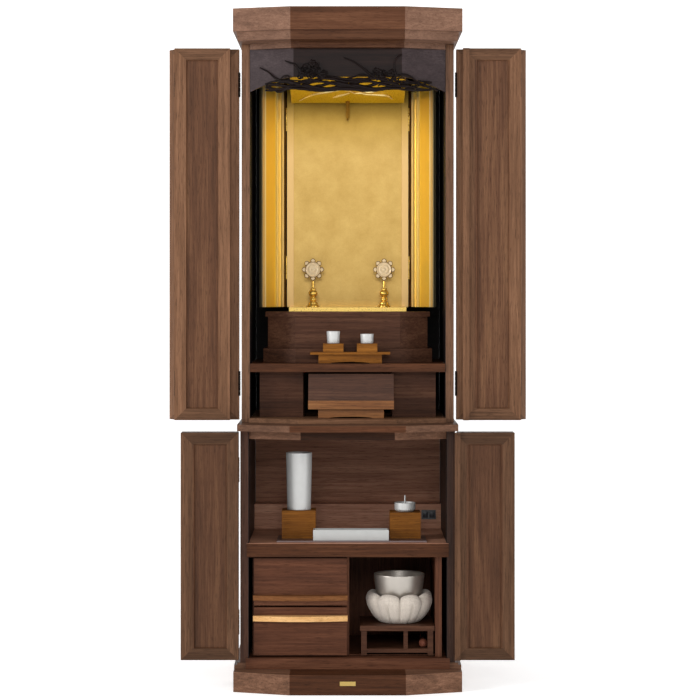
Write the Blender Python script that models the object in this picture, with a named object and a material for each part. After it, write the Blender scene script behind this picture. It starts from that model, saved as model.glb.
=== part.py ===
"""Household altar cabinet: two tiers of walnut, bifold doors open, with its altar fittings.

All sizes below are in millimetres and become metres when a mesh is made.
X runs to the right, Y to the back and Z up; the front faces -Y and the floor is Z = 0.
"""

import math

import bmesh
import bpy

MM = 0.001
RIGHT = 1
LEFT = -1
SIDES = ((LEFT, "left"), (RIGHT, "right"))

# Clearances
REST = 0.3
RUN = 1.0
BITE = 1.0

# Overall height, the case's half width and depth
TOTAL_H = 1350.0
CASE_HALF = 213.0
FRONT = -200.0
BACK = 200.0
FACET_DROP = 35.0

# Plinth and its step moulding
PLINTH_HALF = CASE_HALF + 13.0
PLINTH_H = 40.0
PLINTH_WALL = 20.0
STEP_HALF = CASE_HALF + 7.0
STEP_LOW_H = 8.0
STEP_H = 13.0
STEP_FRONT = -134.0

# Faceted slab between the tiers: its middle facet leaves the same side facets at any width
SLAB_HALF = CASE_HALF + 5.6
SLAB_FACET = SLAB_HALF - 104.6
SLAB_Z = 515.0
SLAB_T = 13.0

# Case panels
LOW_OUTER = CASE_HALF + 0.5
LOW_PANEL_T = 16.5
LOW_INNER = LOW_OUTER - LOW_PANEL_T
LOW_FRONT = -135.0
UP_OUTER = CASE_HALF
UP_PANEL_T = 17.0
UP_INNER = UP_OUTER - UP_PANEL_T
UP_FRONT = -94.0
CASE_BACK = BACK - 4.0
BACK_PANEL_T = 6.0
BACK_PANEL_Y = CASE_BACK - 4.0 - BACK_PANEL_T

# Lower case
RAIL_HALF = LOW_INNER + 5.8
RAIL_PROUD = 3.0
FLOOR_TOP = PLINTH_H + STEP_H + 9.0
LOW_HEADER_H = 17.5
LOW_HEADER_FACET = SLAB_FACET - 21.0
LOW_HEADER_FRONT = -166.0
LOW_HEADER_END = -130.0
HEADER_T = 18.0
TABLE_TOP = 290.0
TABLE_T = 27.0
TABLE_HALF = LOW_INNER + 3.8
TABLE_PROUD = 2.0

# Chest under the table board
CHEST_LEFT = 7.0 - LOW_INNER
CHEST_MIDDLE = 3.0
CHEST_RIGHT = LOW_INNER - 9.4
CHEST_WALL = 13.0
CHEST_FRONT = -106.7
CHEST_BACK = 150.0
CHEST_BACK_T = 16.0
CHEST_BOTTOM_T = 2.5
CHEST_END_Y = -122.0

# Drawers: name, height of the front, and the pull's height up the front and thickness
DRAWER_FRONT_LEFT = CHEST_LEFT + 3.2
DRAWER_FRONT_RIGHT = CHEST_MIDDLE - 4.6
DRAWER_FRONT_T = 18.0
DRAWER_BACK_GAP = 6.0
DRAWER_DEPTH = CHEST_BACK - CHEST_BACK_T - DRAWER_BACK_GAP - (CHEST_FRONT - RUN)
DRAWER_WALL = 8.0
DRAWER_TOP_DROP = 14.0
DRAWER_GAP = 4.0
DRAWERS = (("lower", 95.5, 69.6, 10.4), ("upper", 93.7, 11.5, 9.6))
PULL_OVER = 1.4
PULL_END = 11.7
PULL_BOW = 10.0

# Power ledge and outlet
LEDGE_FRONT = 130.0
LEDGE_LEAN = 8.0
LEDGE_H = 51.0
LEDGE_TOP = TABLE_TOP + LEDGE_H
LEDGE_WALL = 8.0
OUTLET_W = 30.0
OUTLET_H = 19.0
OUTLET_T = 3.0
OUTLET_SIDE = 11.0
OUTLET_DROP = 12.0

# Upper case
UP_FLOOR_TOP = SLAB_Z + SLAB_T + 9.0
UP_FLOOR_EAR = UP_INNER + 2.0
UP_FLOOR_FACET = UP_INNER - 98.5
UP_FLOOR_FRONT = -150.0
UP_FLOOR_END = -103.0
STEP_BOX_W = 88.0
STEP_BOX_SIDE = 18.0
STEP_BOX_FRONT = -60.0
STEP_BOX_BACK = 100.0
STEP_BOX_WALL = 9.0
SHELF_TOP = UP_FLOOR_TOP + 109.0
SHELF_T = 16.7
SHELF_FRONT = -98.0

# Pedestal: each tier's gap to the side panels, front and height
PEDESTAL_FACET = UP_INNER - 90.0
PEDESTAL_DROP = 26.0
PEDESTAL_BACK = 150.0
PEDESTAL_TIERS = (("base", 24.0, -50.0, 28.0), ("body", 33.0, -40.0, 66.0), ("top", 28.0, -45.0, 9.0))

# Cornice and its header
CORNICE_TOP_H = 45.0
CORNICE_BAND_H = 18.0
HEADER_H = 11.5
CORNICE_STEP_Z = TOTAL_H - CORNICE_TOP_H
CORNICE_Z = CORNICE_STEP_Z - CORNICE_BAND_H
HEADER_Z = CORNICE_Z - HEADER_H
CORNICE_HALF = CASE_HALF + 13.7
CORNICE_FACET = CORNICE_HALF - 114.2
CORNICE_INSET = 6.0
CORNICE_TAPER = 3.0
UP_HEADER_FACET = UP_INNER - 101.3
UP_HEADER_FRONT = -150.0
UP_HEADER_END = -103.0

# Gold ledge, screen and wings
WING_L = 70.0
WING_T = 7.0
WING_ANGLE = math.radians(45.0)
WING_PIN_X = UP_INNER - 64.0
GOLD_LEDGE_HALF = WING_PIN_X - WING_T - 4.5
GOLD_LEDGE_FRONT = 4.0
GOLD_LEDGE_T = 8.2
SCREEN_HALF = WING_PIN_X - 6.0
SCREEN_FRONT = 60.0
SCREEN_T = 16.0
SCREEN_TOP = HEADER_Z - 45.5
SCREEN_FRAME = 13.5
SCREEN_RECESS = 5.0
WING_TOP = SCREEN_TOP - 5.0

# Valance
VALANCE_FACET = UP_INNER - 88.0
VALANCE_FRONT = -130.0
VALANCE_END = -98.0
VALANCE_T = 9.0
VALANCE_END_Z = HEADER_Z - 84.5
VALANCE_RISE = 28.0
VALANCE_RISE_W = 100.0

# Gold ceiling board between the valance and the screen: its underside's height at each
CEILING_HALF = WING_PIN_X - WING_T - 8.0
CEILING_Z = (HEADER_Z - 56.0, HEADER_Z - 93.5)
CEILING_T = 5.0

# Doors
DOOR_T = 18.0
DOOR_PIN_X = CASE_HALF + 4.5
DOOR_EDGE = 0.6
FOLD_GAP = 1.0
DOOR_FRAME = 23.0
PANEL_RECESS = 4.0
PANEL_BEVEL = 2.5
UP_DOOR_Z = (SLAB_Z + SLAB_T + 5.5, HEADER_Z + 1.5)
UP_LEAF_INNER = 129.5
LOW_DOOR_Z = (PLINTH_H + STEP_H + 8.0, SLAB_Z - 3.5)
LOW_LEAF_INNER = 110.9
MEETING_GAP = 0.5
UP_DOOR_FOLD = math.radians(35.5)
LOW_DOOR_FOLD = math.radians(19.1)
UP_BEAD = (13.0, 5.4)
LOW_BEAD = (11.4, 4.4)
BEAD_PROUD = 6.0

# Name plate
PLATE_W = 31.0
PLATE_Z = (18.6, 27.0)
PLATE_T = 1.2


def make_material(name, colour, roughness, metallic=0.0):
    material = bpy.data.materials.new(name)
    material.use_nodes = True
    shader = material.node_tree.nodes["Principled BSDF"]
    shader.inputs["Base Color"].default_value = (*colour, 1.0)
    shader.inputs["Roughness"].default_value = roughness
    shader.inputs["Metallic"].default_value = metallic
    material.diffuse_color = (*colour, 1.0)
    return material


FINISHES = {
    "walnut": ((0.16, 0.085, 0.052), 0.5, 0.0),
    "walnut_dark": ((0.045, 0.022, 0.018), 0.5, 0.0),
    "amber_wood": ((0.32, 0.13, 0.03), 0.45, 0.0),
    "maple": ((0.62, 0.33, 0.12), 0.45, 0.0),
    "gold_leaf": ((0.75, 0.47, 0.12), 0.35, 1.0),
    "brass": ((0.66, 0.46, 0.2), 0.35, 1.0),
    "satin_silver": ((0.72, 0.72, 0.7), 0.35, 1.0),
    "crystal": ((0.85, 0.8, 0.66), 0.15, 0.0),
    "cloth": ((0.66, 0.6, 0.52), 0.9, 0.0),
    "black_plastic": ((0.02, 0.02, 0.02), 0.45, 0.0),
}


def clear_scene():
    for obj in list(bpy.data.objects):
        bpy.data.objects.remove(obj, do_unlink=True)


def link_object(name, bm, finish, origin=(0.0, 0.0, 0.0)):
    """Turns a bmesh in millimetres into an object in metres whose origin is the given point."""
    for vert in bm.verts:
        vert.co = [(vert.co[i] - origin[i]) * MM for i in range(3)]
    bmesh.ops.recalc_face_normals(bm, faces=bm.faces)
    mesh = bpy.data.meshes.new(name)
    bm.to_mesh(mesh)
    bm.free()
    obj = bpy.data.objects.new(name, mesh)
    obj.location = [value * MM for value in origin]
    bpy.context.scene.collection.objects.link(obj)
    mesh.materials.append(make_material(name + "_finish", *FINISHES[finish]))
    return obj


def smooth(obj, degrees=35.0):
    obj.data.shade_smooth()
    obj.data.set_sharp_from_angle(angle=math.radians(degrees))
    return obj


def change(obj, operation, helpers):
    """Joins helpers to a piece or cuts them from it, and hides them."""
    for helper in helpers:
        helper.hide_render = True
        helper.display_type = "WIRE"
        modifier = obj.modifiers.new(helper.name, "BOOLEAN")
        modifier.operation = operation
        modifier.solver = "EXACT"
        modifier.object = helper
    return obj


def join(obj, *helpers):
    return change(obj, "UNION", helpers)


def cut(obj, *helpers):
    return change(obj, "DIFFERENCE", helpers)


def loft(rings):
    """A closed skin through rings that have the same number of points."""
    bm = bmesh.new()
    rows = [[bm.verts.new(point) for point in ring] for ring in rings]
    count = len(rows[0])
    for low, high in zip(rows, rows[1:]):
        for i in range(count):
            j = (i + 1) % count
            bm.faces.new((low[i], low[j], high[j], high[i]))
    bm.faces.new(rows[0][::-1])
    bm.faces.new(rows[-1])
    return bm


def prism(name, outline, z_low, z_high, finish="walnut", origin=(0.0, 0.0, 0.0)):
    """A plan outline drawn up from one height to another."""
    rings = [[(x, y, z) for x, y in outline] for z in (z_low, z_high)]
    return link_object(name, loft(rings), finish, origin)


def block(name, xs, ys, zs, finish="walnut", origin=(0.0, 0.0, 0.0)):
    outline = ((xs[0], ys[0]), (xs[1], ys[0]), (xs[1], ys[1]), (xs[0], ys[1]))
    return prism(name, outline, zs[0], zs[1], finish, origin)


def side_profile(name, outline, x_low, x_high, finish="walnut"):
    """A YZ outline drawn along X."""
    rings = [[(x, y, z) for y, z in outline] for x in (x_low, x_high)]
    return link_object(name, loft(rings), finish)


def front_profile(name, outline, y_low, y_high, finish="walnut"):
    """An XZ outline drawn along Y."""
    rings = [[(x, y, z) for x, z in outline] for y in (y_low, y_high)]
    return link_object(name, loft(rings), finish)


def turned(name, profile, centre, finish, sides=28, along_y=False):
    """A profile of (radius, height) points turned about a line through the centre."""
    bm = bmesh.new()
    rows = []
    for radius, height in profile:
        count = sides if radius > 0.0 else 1
        row = []
        for i in range(count):
            angle = 2.0 * math.pi * i / sides
            across = radius * math.cos(angle)
            other = radius * math.sin(angle)
            offset = (across, height, other) if along_y else (across, other, height)
            row.append(bm.verts.new([centre[k] + offset[k] for k in range(3)]))
        rows.append(row)
    for low, high in zip(rows, rows[1:]):
        for i in range(sides):
            j = (i + 1) % sides
            corners = [low[i % len(low)], low[j % len(low)], high[j % len(high)], high[i % len(high)]]
            bm.faces.new(list(dict.fromkeys(corners)))
    return smooth(link_object(name, bm, finish))


def facet_plan(half, facet, front, end, back):
    """A board whose front has a middle facet and two side facets that fall back."""
    return ((-half, back), (-half, end), (-facet, front), (facet, front), (half, end), (half, back))


def facet_strip(half, facet, front, end, thick):
    """A strip of even depth that follows a three-facet front."""
    outer = [(-half, end), (-facet, front), (facet, front), (half, end)]
    return outer + [(x, y + thick) for x, y in reversed(outer)]


def make_plinth():
    end = FRONT + FACET_DROP
    outline = facet_plan(PLINTH_HALF, SLAB_FACET, FRONT, end, BACK)
    plinth = prism("plinth", outline, 0.0, PLINTH_H)
    ear_z = (PLINTH_H - BITE, PLINTH_H + STEP_LOW_H)
    step_z = (PLINTH_H - 2 * BITE, PLINTH_H + STEP_H)
    ear = block("plinth_ear", (-PLINTH_HALF, PLINTH_HALF), (STEP_FRONT, BACK), ear_z)
    step = block("plinth_step", (-STEP_HALF, STEP_HALF), (STEP_FRONT, BACK - BITE), step_z)
    join(plinth, ear, step)
    inner = facet_plan(
        PLINTH_HALF - PLINTH_WALL,
        SLAB_FACET - PLINTH_WALL / 4,
        FRONT + PLINTH_WALL,
        end + PLINTH_WALL,
        BACK - PLINTH_WALL,
    )
    cut(plinth, prism("plinth_hollow", inner, -BITE, PLINTH_H - PLINTH_WALL / 2))
    plate_z = (PLATE_Z[0] - REST, PLATE_Z[1] + REST)
    plate_half = PLATE_W / 2 + REST
    seat_y = (FRONT - BITE, FRONT + PLATE_T + REST)
    cut(plinth, block("plate_seat", (-plate_half, plate_half), seat_y, plate_z))
    block("name_plate", (-PLATE_W / 2, PLATE_W / 2), (FRONT, FRONT + PLATE_T), PLATE_Z, "brass")


def make_lower_floor():
    base = PLINTH_H + STEP_H + REST
    rail_front = LOW_FRONT - REST - RAIL_PROUD
    floor_x = (-LOW_INNER + REST, LOW_INNER - REST)
    floor = block("lower_floor", floor_x, (LOW_FRONT - REST - BITE, CASE_BACK), (base, FLOOR_TOP))
    rail_z = (PLINTH_H + REST, FLOOR_TOP)
    rail = block("lower_floor_rail", (-RAIL_HALF, RAIL_HALF), (rail_front, LOW_FRONT - REST), rail_z)
    join(floor, rail)


def make_lower_case():
    base = PLINTH_H + STEP_H + REST
    top = SLAB_Z - REST
    for side, label in SIDES:
        xs = sorted((side * LOW_INNER, side * LOW_OUTER))
        block("lower_side_" + label, xs, (LOW_FRONT, CASE_BACK), (base, top))
    span = (-LOW_INNER + REST, LOW_INNER - REST)
    back = (BACK_PANEL_Y, BACK_PANEL_Y + BACK_PANEL_T)
    block("lower_back", span, back, (FLOOR_TOP + REST, top), "walnut_dark")
    strip = facet_strip(span[1], LOW_HEADER_FACET, LOW_HEADER_FRONT, LOW_HEADER_END, HEADER_T)
    prism("lower_header", strip, SLAB_Z - LOW_HEADER_H, top)
    table_z = (TABLE_TOP - TABLE_T, TABLE_TOP)
    table = block("table_board", span, (LOW_FRONT - REST - BITE, BACK_PANEL_Y - REST), table_z)
    lip_y = (LOW_FRONT - REST - TABLE_PROUD, LOW_FRONT - REST)
    join(table, block("table_board_lip", (-TABLE_HALF, TABLE_HALF), lip_y, table_z))


def make_chest():
    low = FLOOR_TOP + REST
    high = TABLE_TOP - TABLE_T - REST
    depth = (CHEST_FRONT, CHEST_BACK)
    chest = block("chest", (CHEST_LEFT, CHEST_RIGHT), depth, (low, low + CHEST_BOTTOM_T))
    walls = (
        (CHEST_LEFT, CHEST_LEFT + CHEST_WALL, CHEST_FRONT),
        (CHEST_MIDDLE - CHEST_WALL, CHEST_MIDDLE, CHEST_FRONT),
        (CHEST_RIGHT - CHEST_WALL, CHEST_RIGHT, CHEST_END_Y),
    )
    for index, (x_low, x_high, front) in enumerate(walls):
        join(chest, block("chest_wall_%d" % index, (x_low, x_high), (front, CHEST_BACK - BITE), (low, high)))
    panel_x = (CHEST_LEFT + BITE, CHEST_RIGHT - BITE)
    panel_y = (CHEST_BACK - CHEST_BACK_T, CHEST_BACK)
    join(chest, block("chest_back", panel_x, panel_y, (low + BITE, high - BITE)))
    z_low = low + CHEST_BOTTOM_T + RUN
    for label, front_h, pull_up, pull_h in DRAWERS:
        make_drawer(label, z_low, z_low + front_h, z_low + pull_up, pull_h)
        z_low += front_h + DRAWER_GAP


def make_drawer(label, z_low, z_high, pull_low, pull_h):
    back = CHEST_FRONT - RUN
    front = back - DRAWER_FRONT_T
    origin = (DRAWER_FRONT_LEFT, front, z_low)
    span = (DRAWER_FRONT_LEFT, DRAWER_FRONT_RIGHT)
    drawer = block("drawer_" + label, span, (front, back), (z_low, z_high), "walnut", origin)
    box_x = (CHEST_LEFT + CHEST_WALL + RUN, CHEST_MIDDLE - CHEST_WALL - RUN)
    box_y = (back - BITE, back + DRAWER_DEPTH)
    box_z = (z_low + BITE, z_high - DRAWER_TOP_DROP)
    join(drawer, block("drawer_box_" + label, box_x, box_y, box_z))
    hollow_x = (box_x[0] + DRAWER_WALL, box_x[1] - DRAWER_WALL)
    hollow_y = (back, box_y[1] - DRAWER_WALL)
    cut(drawer, block("drawer_hollow_" + label, hollow_x, hollow_y, (box_z[0] + DRAWER_WALL, z_high - BITE)))
    left = DRAWER_FRONT_LEFT - PULL_OVER
    right = DRAWER_FRONT_RIGHT + PULL_OVER
    steps = 12
    bow = []
    for i in range(steps + 1):
        share = i / steps
        bow.append((left + (right - left) * share, front - PULL_END - PULL_BOW * math.sin(math.pi * share)))
    outline = [(right, front - REST), (left, front - REST)] + bow
    prism("drawer_pull_" + label, outline, pull_low, pull_low + pull_h, "maple", origin)


def make_power_ledge():
    """A hollow ledge at the back whose front leans in towards the top."""
    half = LOW_INNER - REST
    low = TABLE_TOP + REST
    back = BACK_PANEL_Y - REST
    outline = [(LEDGE_FRONT - LEDGE_LEAN, low), (back, low), (back, LEDGE_TOP), (LEDGE_FRONT, LEDGE_TOP)]
    ledge = side_profile("power_ledge", outline, -half, half)
    inner = half - LEDGE_WALL
    hollow_y = (LEDGE_FRONT + LEDGE_WALL, back + BITE)
    cut(ledge, block("power_hollow", (-inner, inner), hollow_y, (low - BITE, LEDGE_TOP - LEDGE_WALL)))
    outlet_x = (half - OUTLET_SIDE - OUTLET_W, half - OUTLET_SIDE)
    outlet_z = (LEDGE_TOP - OUTLET_DROP - OUTLET_H, LEDGE_TOP - OUTLET_DROP)
    lean = [LEDGE_FRONT - LEDGE_LEAN * (LEDGE_TOP - z) / (LEDGE_TOP - low) - REST for z in outlet_z]
    outline = [(lean[0] - OUTLET_T, outlet_z[0]), (lean[0], outlet_z[0])]
    outline += [(lean[1], outlet_z[1]), (lean[1] - OUTLET_T, outlet_z[1])]
    side_profile("power_outlet", outline, outlet_x[0], outlet_x[1], "black_plastic")


def make_upper_case():
    low = SLAB_Z + SLAB_T + REST
    top = CORNICE_Z - REST
    slab = facet_plan(SLAB_HALF, SLAB_FACET, FRONT, FRONT + FACET_DROP, BACK)
    prism("waist_slab", slab, SLAB_Z, SLAB_Z + SLAB_T)
    for side, label in SIDES:
        xs = sorted((side * UP_INNER, side * UP_OUTER))
        block("upper_side_" + label, xs, (UP_FRONT, CASE_BACK), (low, top))
    inner = UP_INNER - REST
    ear_y = UP_FRONT - REST
    half = [(inner, BACK_PANEL_Y - REST), (inner, ear_y), (UP_FLOOR_EAR, ear_y)]
    half += [(UP_FLOOR_EAR, UP_FLOOR_END), (UP_FLOOR_FACET, UP_FLOOR_FRONT)]
    outline = half + [(-x, y) for x, y in reversed(half)]
    prism("upper_floor", outline, low, UP_FLOOR_TOP)
    back = (BACK_PANEL_Y, BACK_PANEL_Y + BACK_PANEL_T)
    block("upper_back", (-inner, inner), back, (low, top), "walnut_dark")
    shelf_low = SHELF_TOP - SHELF_T
    for side, label in SIDES:
        outer_x = UP_INNER - STEP_BOX_SIDE
        xs = sorted((side * (outer_x - STEP_BOX_W), side * outer_x))
        zs = (UP_FLOOR_TOP + REST, shelf_low - REST)
        step_box = block("step_box_" + label, xs, (STEP_BOX_FRONT, STEP_BOX_BACK), zs)
        hollow_x = (xs[0] + STEP_BOX_WALL, xs[1] - STEP_BOX_WALL)
        hollow_y = (STEP_BOX_FRONT + STEP_BOX_WALL, STEP_BOX_BACK + BITE)
        hollow_z = (zs[0] + STEP_BOX_WALL, zs[1] - STEP_BOX_WALL)
        cut(step_box, block("step_box_hollow_" + label, hollow_x, hollow_y, hollow_z))
    block("altar_shelf", (-inner, inner), (SHELF_FRONT, BACK_PANEL_Y - REST), (shelf_low, SHELF_TOP))


def make_cornice():
    end = FRONT + FACET_DROP
    outline = facet_plan(CORNICE_HALF, CORNICE_FACET, FRONT, end, BACK)
    cornice = prism("cornice", outline, CORNICE_STEP_Z, TOTAL_H)
    rings = []
    for inset, z in ((CORNICE_INSET + CORNICE_TAPER, CORNICE_Z), (CORNICE_INSET, CORNICE_STEP_Z + BITE)):
        half = CORNICE_HALF - inset
        facet = CORNICE_FACET - inset / 2
        plan = facet_plan(half, facet, FRONT + inset, end + inset, BACK - inset)
        rings.append([(x, y, z) for x, y in plan])
    join(cornice, link_object("cornice_band", loft(rings), "walnut"))
    strip = facet_strip(UP_INNER - REST, UP_HEADER_FACET, UP_HEADER_FRONT, UP_HEADER_END, HEADER_T)
    join(cornice, prism("cornice_header", strip, HEADER_Z, CORNICE_Z + BITE))


def make_valance():
    """The board under the header, with its lower edge lifted between the end and the branch."""
    stations = [VALANCE_FACET + (UP_INNER - REST - VALANCE_FACET) * i / 8 for i in range(8, -1, -1)]
    stations = [-x for x in stations] + [-VALANCE_FACET / 2, 0.0, VALANCE_FACET / 2] + stations[::-1]
    slope = (VALANCE_END - VALANCE_FRONT) / (UP_INNER - REST - VALANCE_FACET)
    rings = []
    for x in stations:
        beyond = abs(x) - VALANCE_FACET
        y = VALANCE_FRONT + max(beyond, 0.0) * slope
        share = (UP_INNER - abs(x)) / VALANCE_RISE_W
        rise = math.sin(min(max(share, 0.0), 1.0) * math.pi / 2)
        low = VALANCE_END_Z + VALANCE_RISE * rise
        high = HEADER_Z - REST
        rings.append([(x, y, low), (x, y, high), (x, y + VALANCE_T, high), (x, y + VALANCE_T, low)])
    link_object("valance", loft(rings), "walnut_dark")


# Branch carving: each shoot is a line of points, as shares of the half width and drops below the header
BRANCH_PROUD = 5.0
BRANCH_HALF = UP_INNER - 18.0
BOUGH = ((-0.89, 72), (-0.67, 68), (-0.39, 76), (-0.11, 72), (0.2, 79), (0.51, 68), (0.76, 71), (1.0, 83))
SECOND = ((-0.81, 79), (-0.53, 72), (-0.25, 67), (0.03, 78), (0.34, 70), (0.62, 76), (0.84, 72))
BRANCH_SHOOTS = (
    ("bough", BOUGH, 3.4, 2.6),
    ("second", SECOND, 2.8, 2.4),
    ("left_tip", ((-0.96, 36), (-0.88, 53), (-0.8, 67), (-0.72, 71)), 1.6, 2.6),
    ("left_top", ((-0.7, 29), (-0.58, 39), (-0.49, 53), (-0.43, 74)), 1.6, 2.6),
    ("middle", ((-0.02, 23), (0.1, 35), (0.24, 49), (0.33, 71)), 1.4, 2.6),
    ("curl", ((0.6, 17), (0.54, 25), (0.53, 39), (0.56, 55), (0.58, 72)), 1.6, 2.6),
    ("hump", ((0.47, 71), (0.58, 57), (0.7, 57), (0.82, 72)), 2.2, 2.4),
)
BLOSSOMS = (
    ("left", ((-0.47, 45, 10), (-0.4, 38, 10), (-0.35, 50, 10), (-0.42, 59, 10))),
    ("right", ((0.37, 62, 11), (0.44, 51, 10), (0.51, 60, 11))),
)


def on_valance(share, drop):
    """The place across and up that a share of the branch's half width and a drop below the header give."""
    return share * BRANCH_HALF, HEADER_Z - drop


def valance_face(x):
    """How far forward the face of the valance is at x."""
    slope = (VALANCE_END - VALANCE_FRONT) / (UP_INNER - REST - VALANCE_FACET)
    return VALANCE_FRONT + max(abs(x) - VALANCE_FACET, 0.0) * slope


def bent_at_corners(points):
    """The same line with a point added wherever it crosses a corner of the valance face."""
    bent = [points[0]]
    for (x_a, z_a), (x_b, z_b) in zip(points, points[1:]):
        for corner in (-VALANCE_FACET, VALANCE_FACET):
            if (x_a - corner) * (x_b - corner) < 0.0:
                share = (corner - x_a) / (x_b - x_a)
                bent.append((corner, z_a + (z_b - z_a) * share))
        bent.append((x_b, z_b))
    return bent


def shoot_mesh(line, start_radius, end_radius, sides=6):
    """A tapering rod along a line of the valance face."""
    points = bent_at_corners(line)
    rings = []
    last = len(points) - 1
    for i, (x, z) in enumerate(points):
        before = points[max(i - 1, 0)]
        after = points[min(i + 1, last)]
        run = math.hypot(after[0] - before[0], after[1] - before[1])
        across = (-(after[1] - before[1]) / run, (after[0] - before[0]) / run)
        radius = start_radius + (end_radius - start_radius) * i / last
        y = valance_face(x) - REST - BRANCH_PROUD
        ring = []
        for k in range(sides):
            angle = 2.0 * math.pi * k / sides
            side = radius * math.cos(angle)
            ring.append((x + across[0] * side, y + radius * math.sin(angle), z + across[1] * side))
        rings.append(ring)
    return loft(rings)


def make_branch():
    shoots = []
    for label, points, start_radius, end_radius in BRANCH_SHOOTS:
        line = [on_valance(share, drop) for share, drop in points]
        shoot = shoot_mesh(line, start_radius, end_radius)
        shoots.append(link_object("branch_" + label, shoot, "walnut_dark"))
    branch = shoots[0]
    branch.name = "branch_carving"
    join(branch, *shoots[1:])
    for label, spots in BLOSSOMS:
        for index, (share, drop, radius) in enumerate(spots):
            x, z = on_valance(share, drop)
            y = valance_face(x) - REST - BRANCH_PROUD
            deep = BRANCH_PROUD - BITE
            bm = bmesh.new()
            bmesh.ops.create_icosphere(bm, subdivisions=1, radius=1.0)
            for vert in bm.verts:
                vert.co = (x + vert.co.x * radius, y + vert.co.y * deep, z + vert.co.z * radius)
            join(branch, link_object("branch_%s_%d" % (label, index), bm, "walnut_dark"))


def make_pedestal():
    low = SHELF_TOP + REST
    pedestal = None
    for label, side_gap, front, height in PEDESTAL_TIERS:
        half = UP_INNER - side_gap
        outline = facet_plan(half, PEDESTAL_FACET, front, front + PEDESTAL_DROP, PEDESTAL_BACK)
        inset = 0.0 if label == "base" else BITE
        if label == "top":
            outline = facet_plan(half, PEDESTAL_FACET, front, front + PEDESTAL_DROP, PEDESTAL_BACK + BITE)
        tier = prism("pedestal_" + label, outline, low - inset, low + height)
        low += height
        if pedestal:
            join(pedestal, tier)
        else:
            pedestal = tier
            pedestal.name = "pedestal"
    return low


def make_gold(low):
    ledge_top = low + REST + GOLD_LEDGE_T
    back = SCREEN_FRONT + SCREEN_T
    ledge_x = (-GOLD_LEDGE_HALF, GOLD_LEDGE_HALF)
    block("gold_ledge", ledge_x, (GOLD_LEDGE_FRONT, back), (low + REST, ledge_top), "gold_leaf")
    base = ledge_top + REST
    screen_y = (SCREEN_FRONT, back)
    screen_z = (base, SCREEN_TOP)
    screen = block("gold_screen", (-SCREEN_HALF, SCREEN_HALF), screen_y, screen_z, "gold_leaf")
    inner = SCREEN_HALF - SCREEN_FRAME
    recess_y = (SCREEN_FRONT - BITE, SCREEN_FRONT + SCREEN_RECESS)
    recess_z = (base + SCREEN_FRAME, SCREEN_TOP - SCREEN_FRAME)
    cut(screen, block("screen_recess", (-inner, inner), recess_y, recess_z))
    ceiling_front = valance_face(CEILING_HALF) + VALANCE_T + REST
    ceiling = [(SCREEN_FRONT - REST, CEILING_Z[1]), (ceiling_front, CEILING_Z[0])]
    ceiling += [(y, z + CEILING_T) for y, z in reversed(ceiling)]
    side_profile("gold_ceiling", ceiling, -CEILING_HALF, CEILING_HALF, "gold_leaf")
    rib = WING_T / 2
    for side, label in SIDES:
        profile = [(RUN, 0.0), (RUN, -WING_T), (12, -WING_T), (14, -rib), (22, -rib), (23, -WING_T)]
        profile += [(27, -WING_T), (28, -rib), (WING_L - 14, -rib), (WING_L - 12, -WING_T)]
        profile += [(WING_L, -WING_T), (WING_L, 0.0)]
        origin = (side * WING_PIN_X, SCREEN_FRONT, base + REST)
        outline = []
        for along, off in profile:
            x = along * math.cos(WING_ANGLE) + off * math.sin(WING_ANGLE)
            y = -along * math.sin(WING_ANGLE) + off * math.cos(WING_ANGLE)
            outline.append((origin[0] + side * x, origin[1] + y))
        prism("gold_wing_" + label, outline, base + REST, WING_TOP, "gold_leaf", origin)
    return ledge_top


def door_leaf(name, outline, span, zs, faces, origin):
    """A framed leaf: a plan outline with a sunk panel on both of its faces."""
    leaf = prism(name, outline, zs[0], zs[1], "walnut", origin)
    x_low = span[0] + DOOR_FRAME
    x_high = span[1] - DOOR_FRAME
    z_low = zs[0] + DOOR_FRAME
    z_high = zs[1] - DOOR_FRAME
    for index, (y, inward) in enumerate(faces):
        rings = []
        for grow, depth in ((BITE * PANEL_BEVEL / PANEL_RECESS, -BITE), (-PANEL_BEVEL, PANEL_RECESS)):
            corners = ((x_low - grow, z_low - grow), (x_high + grow, z_low - grow))
            corners += ((x_high + grow, z_high + grow), (x_low - grow, z_high + grow))
            rings.append([(x, y + inward * depth, z) for x, z in corners])
        cut(leaf, link_object("%s_panel_%d" % (name, index), loft(rings), "walnut"))
    return leaf


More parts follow.
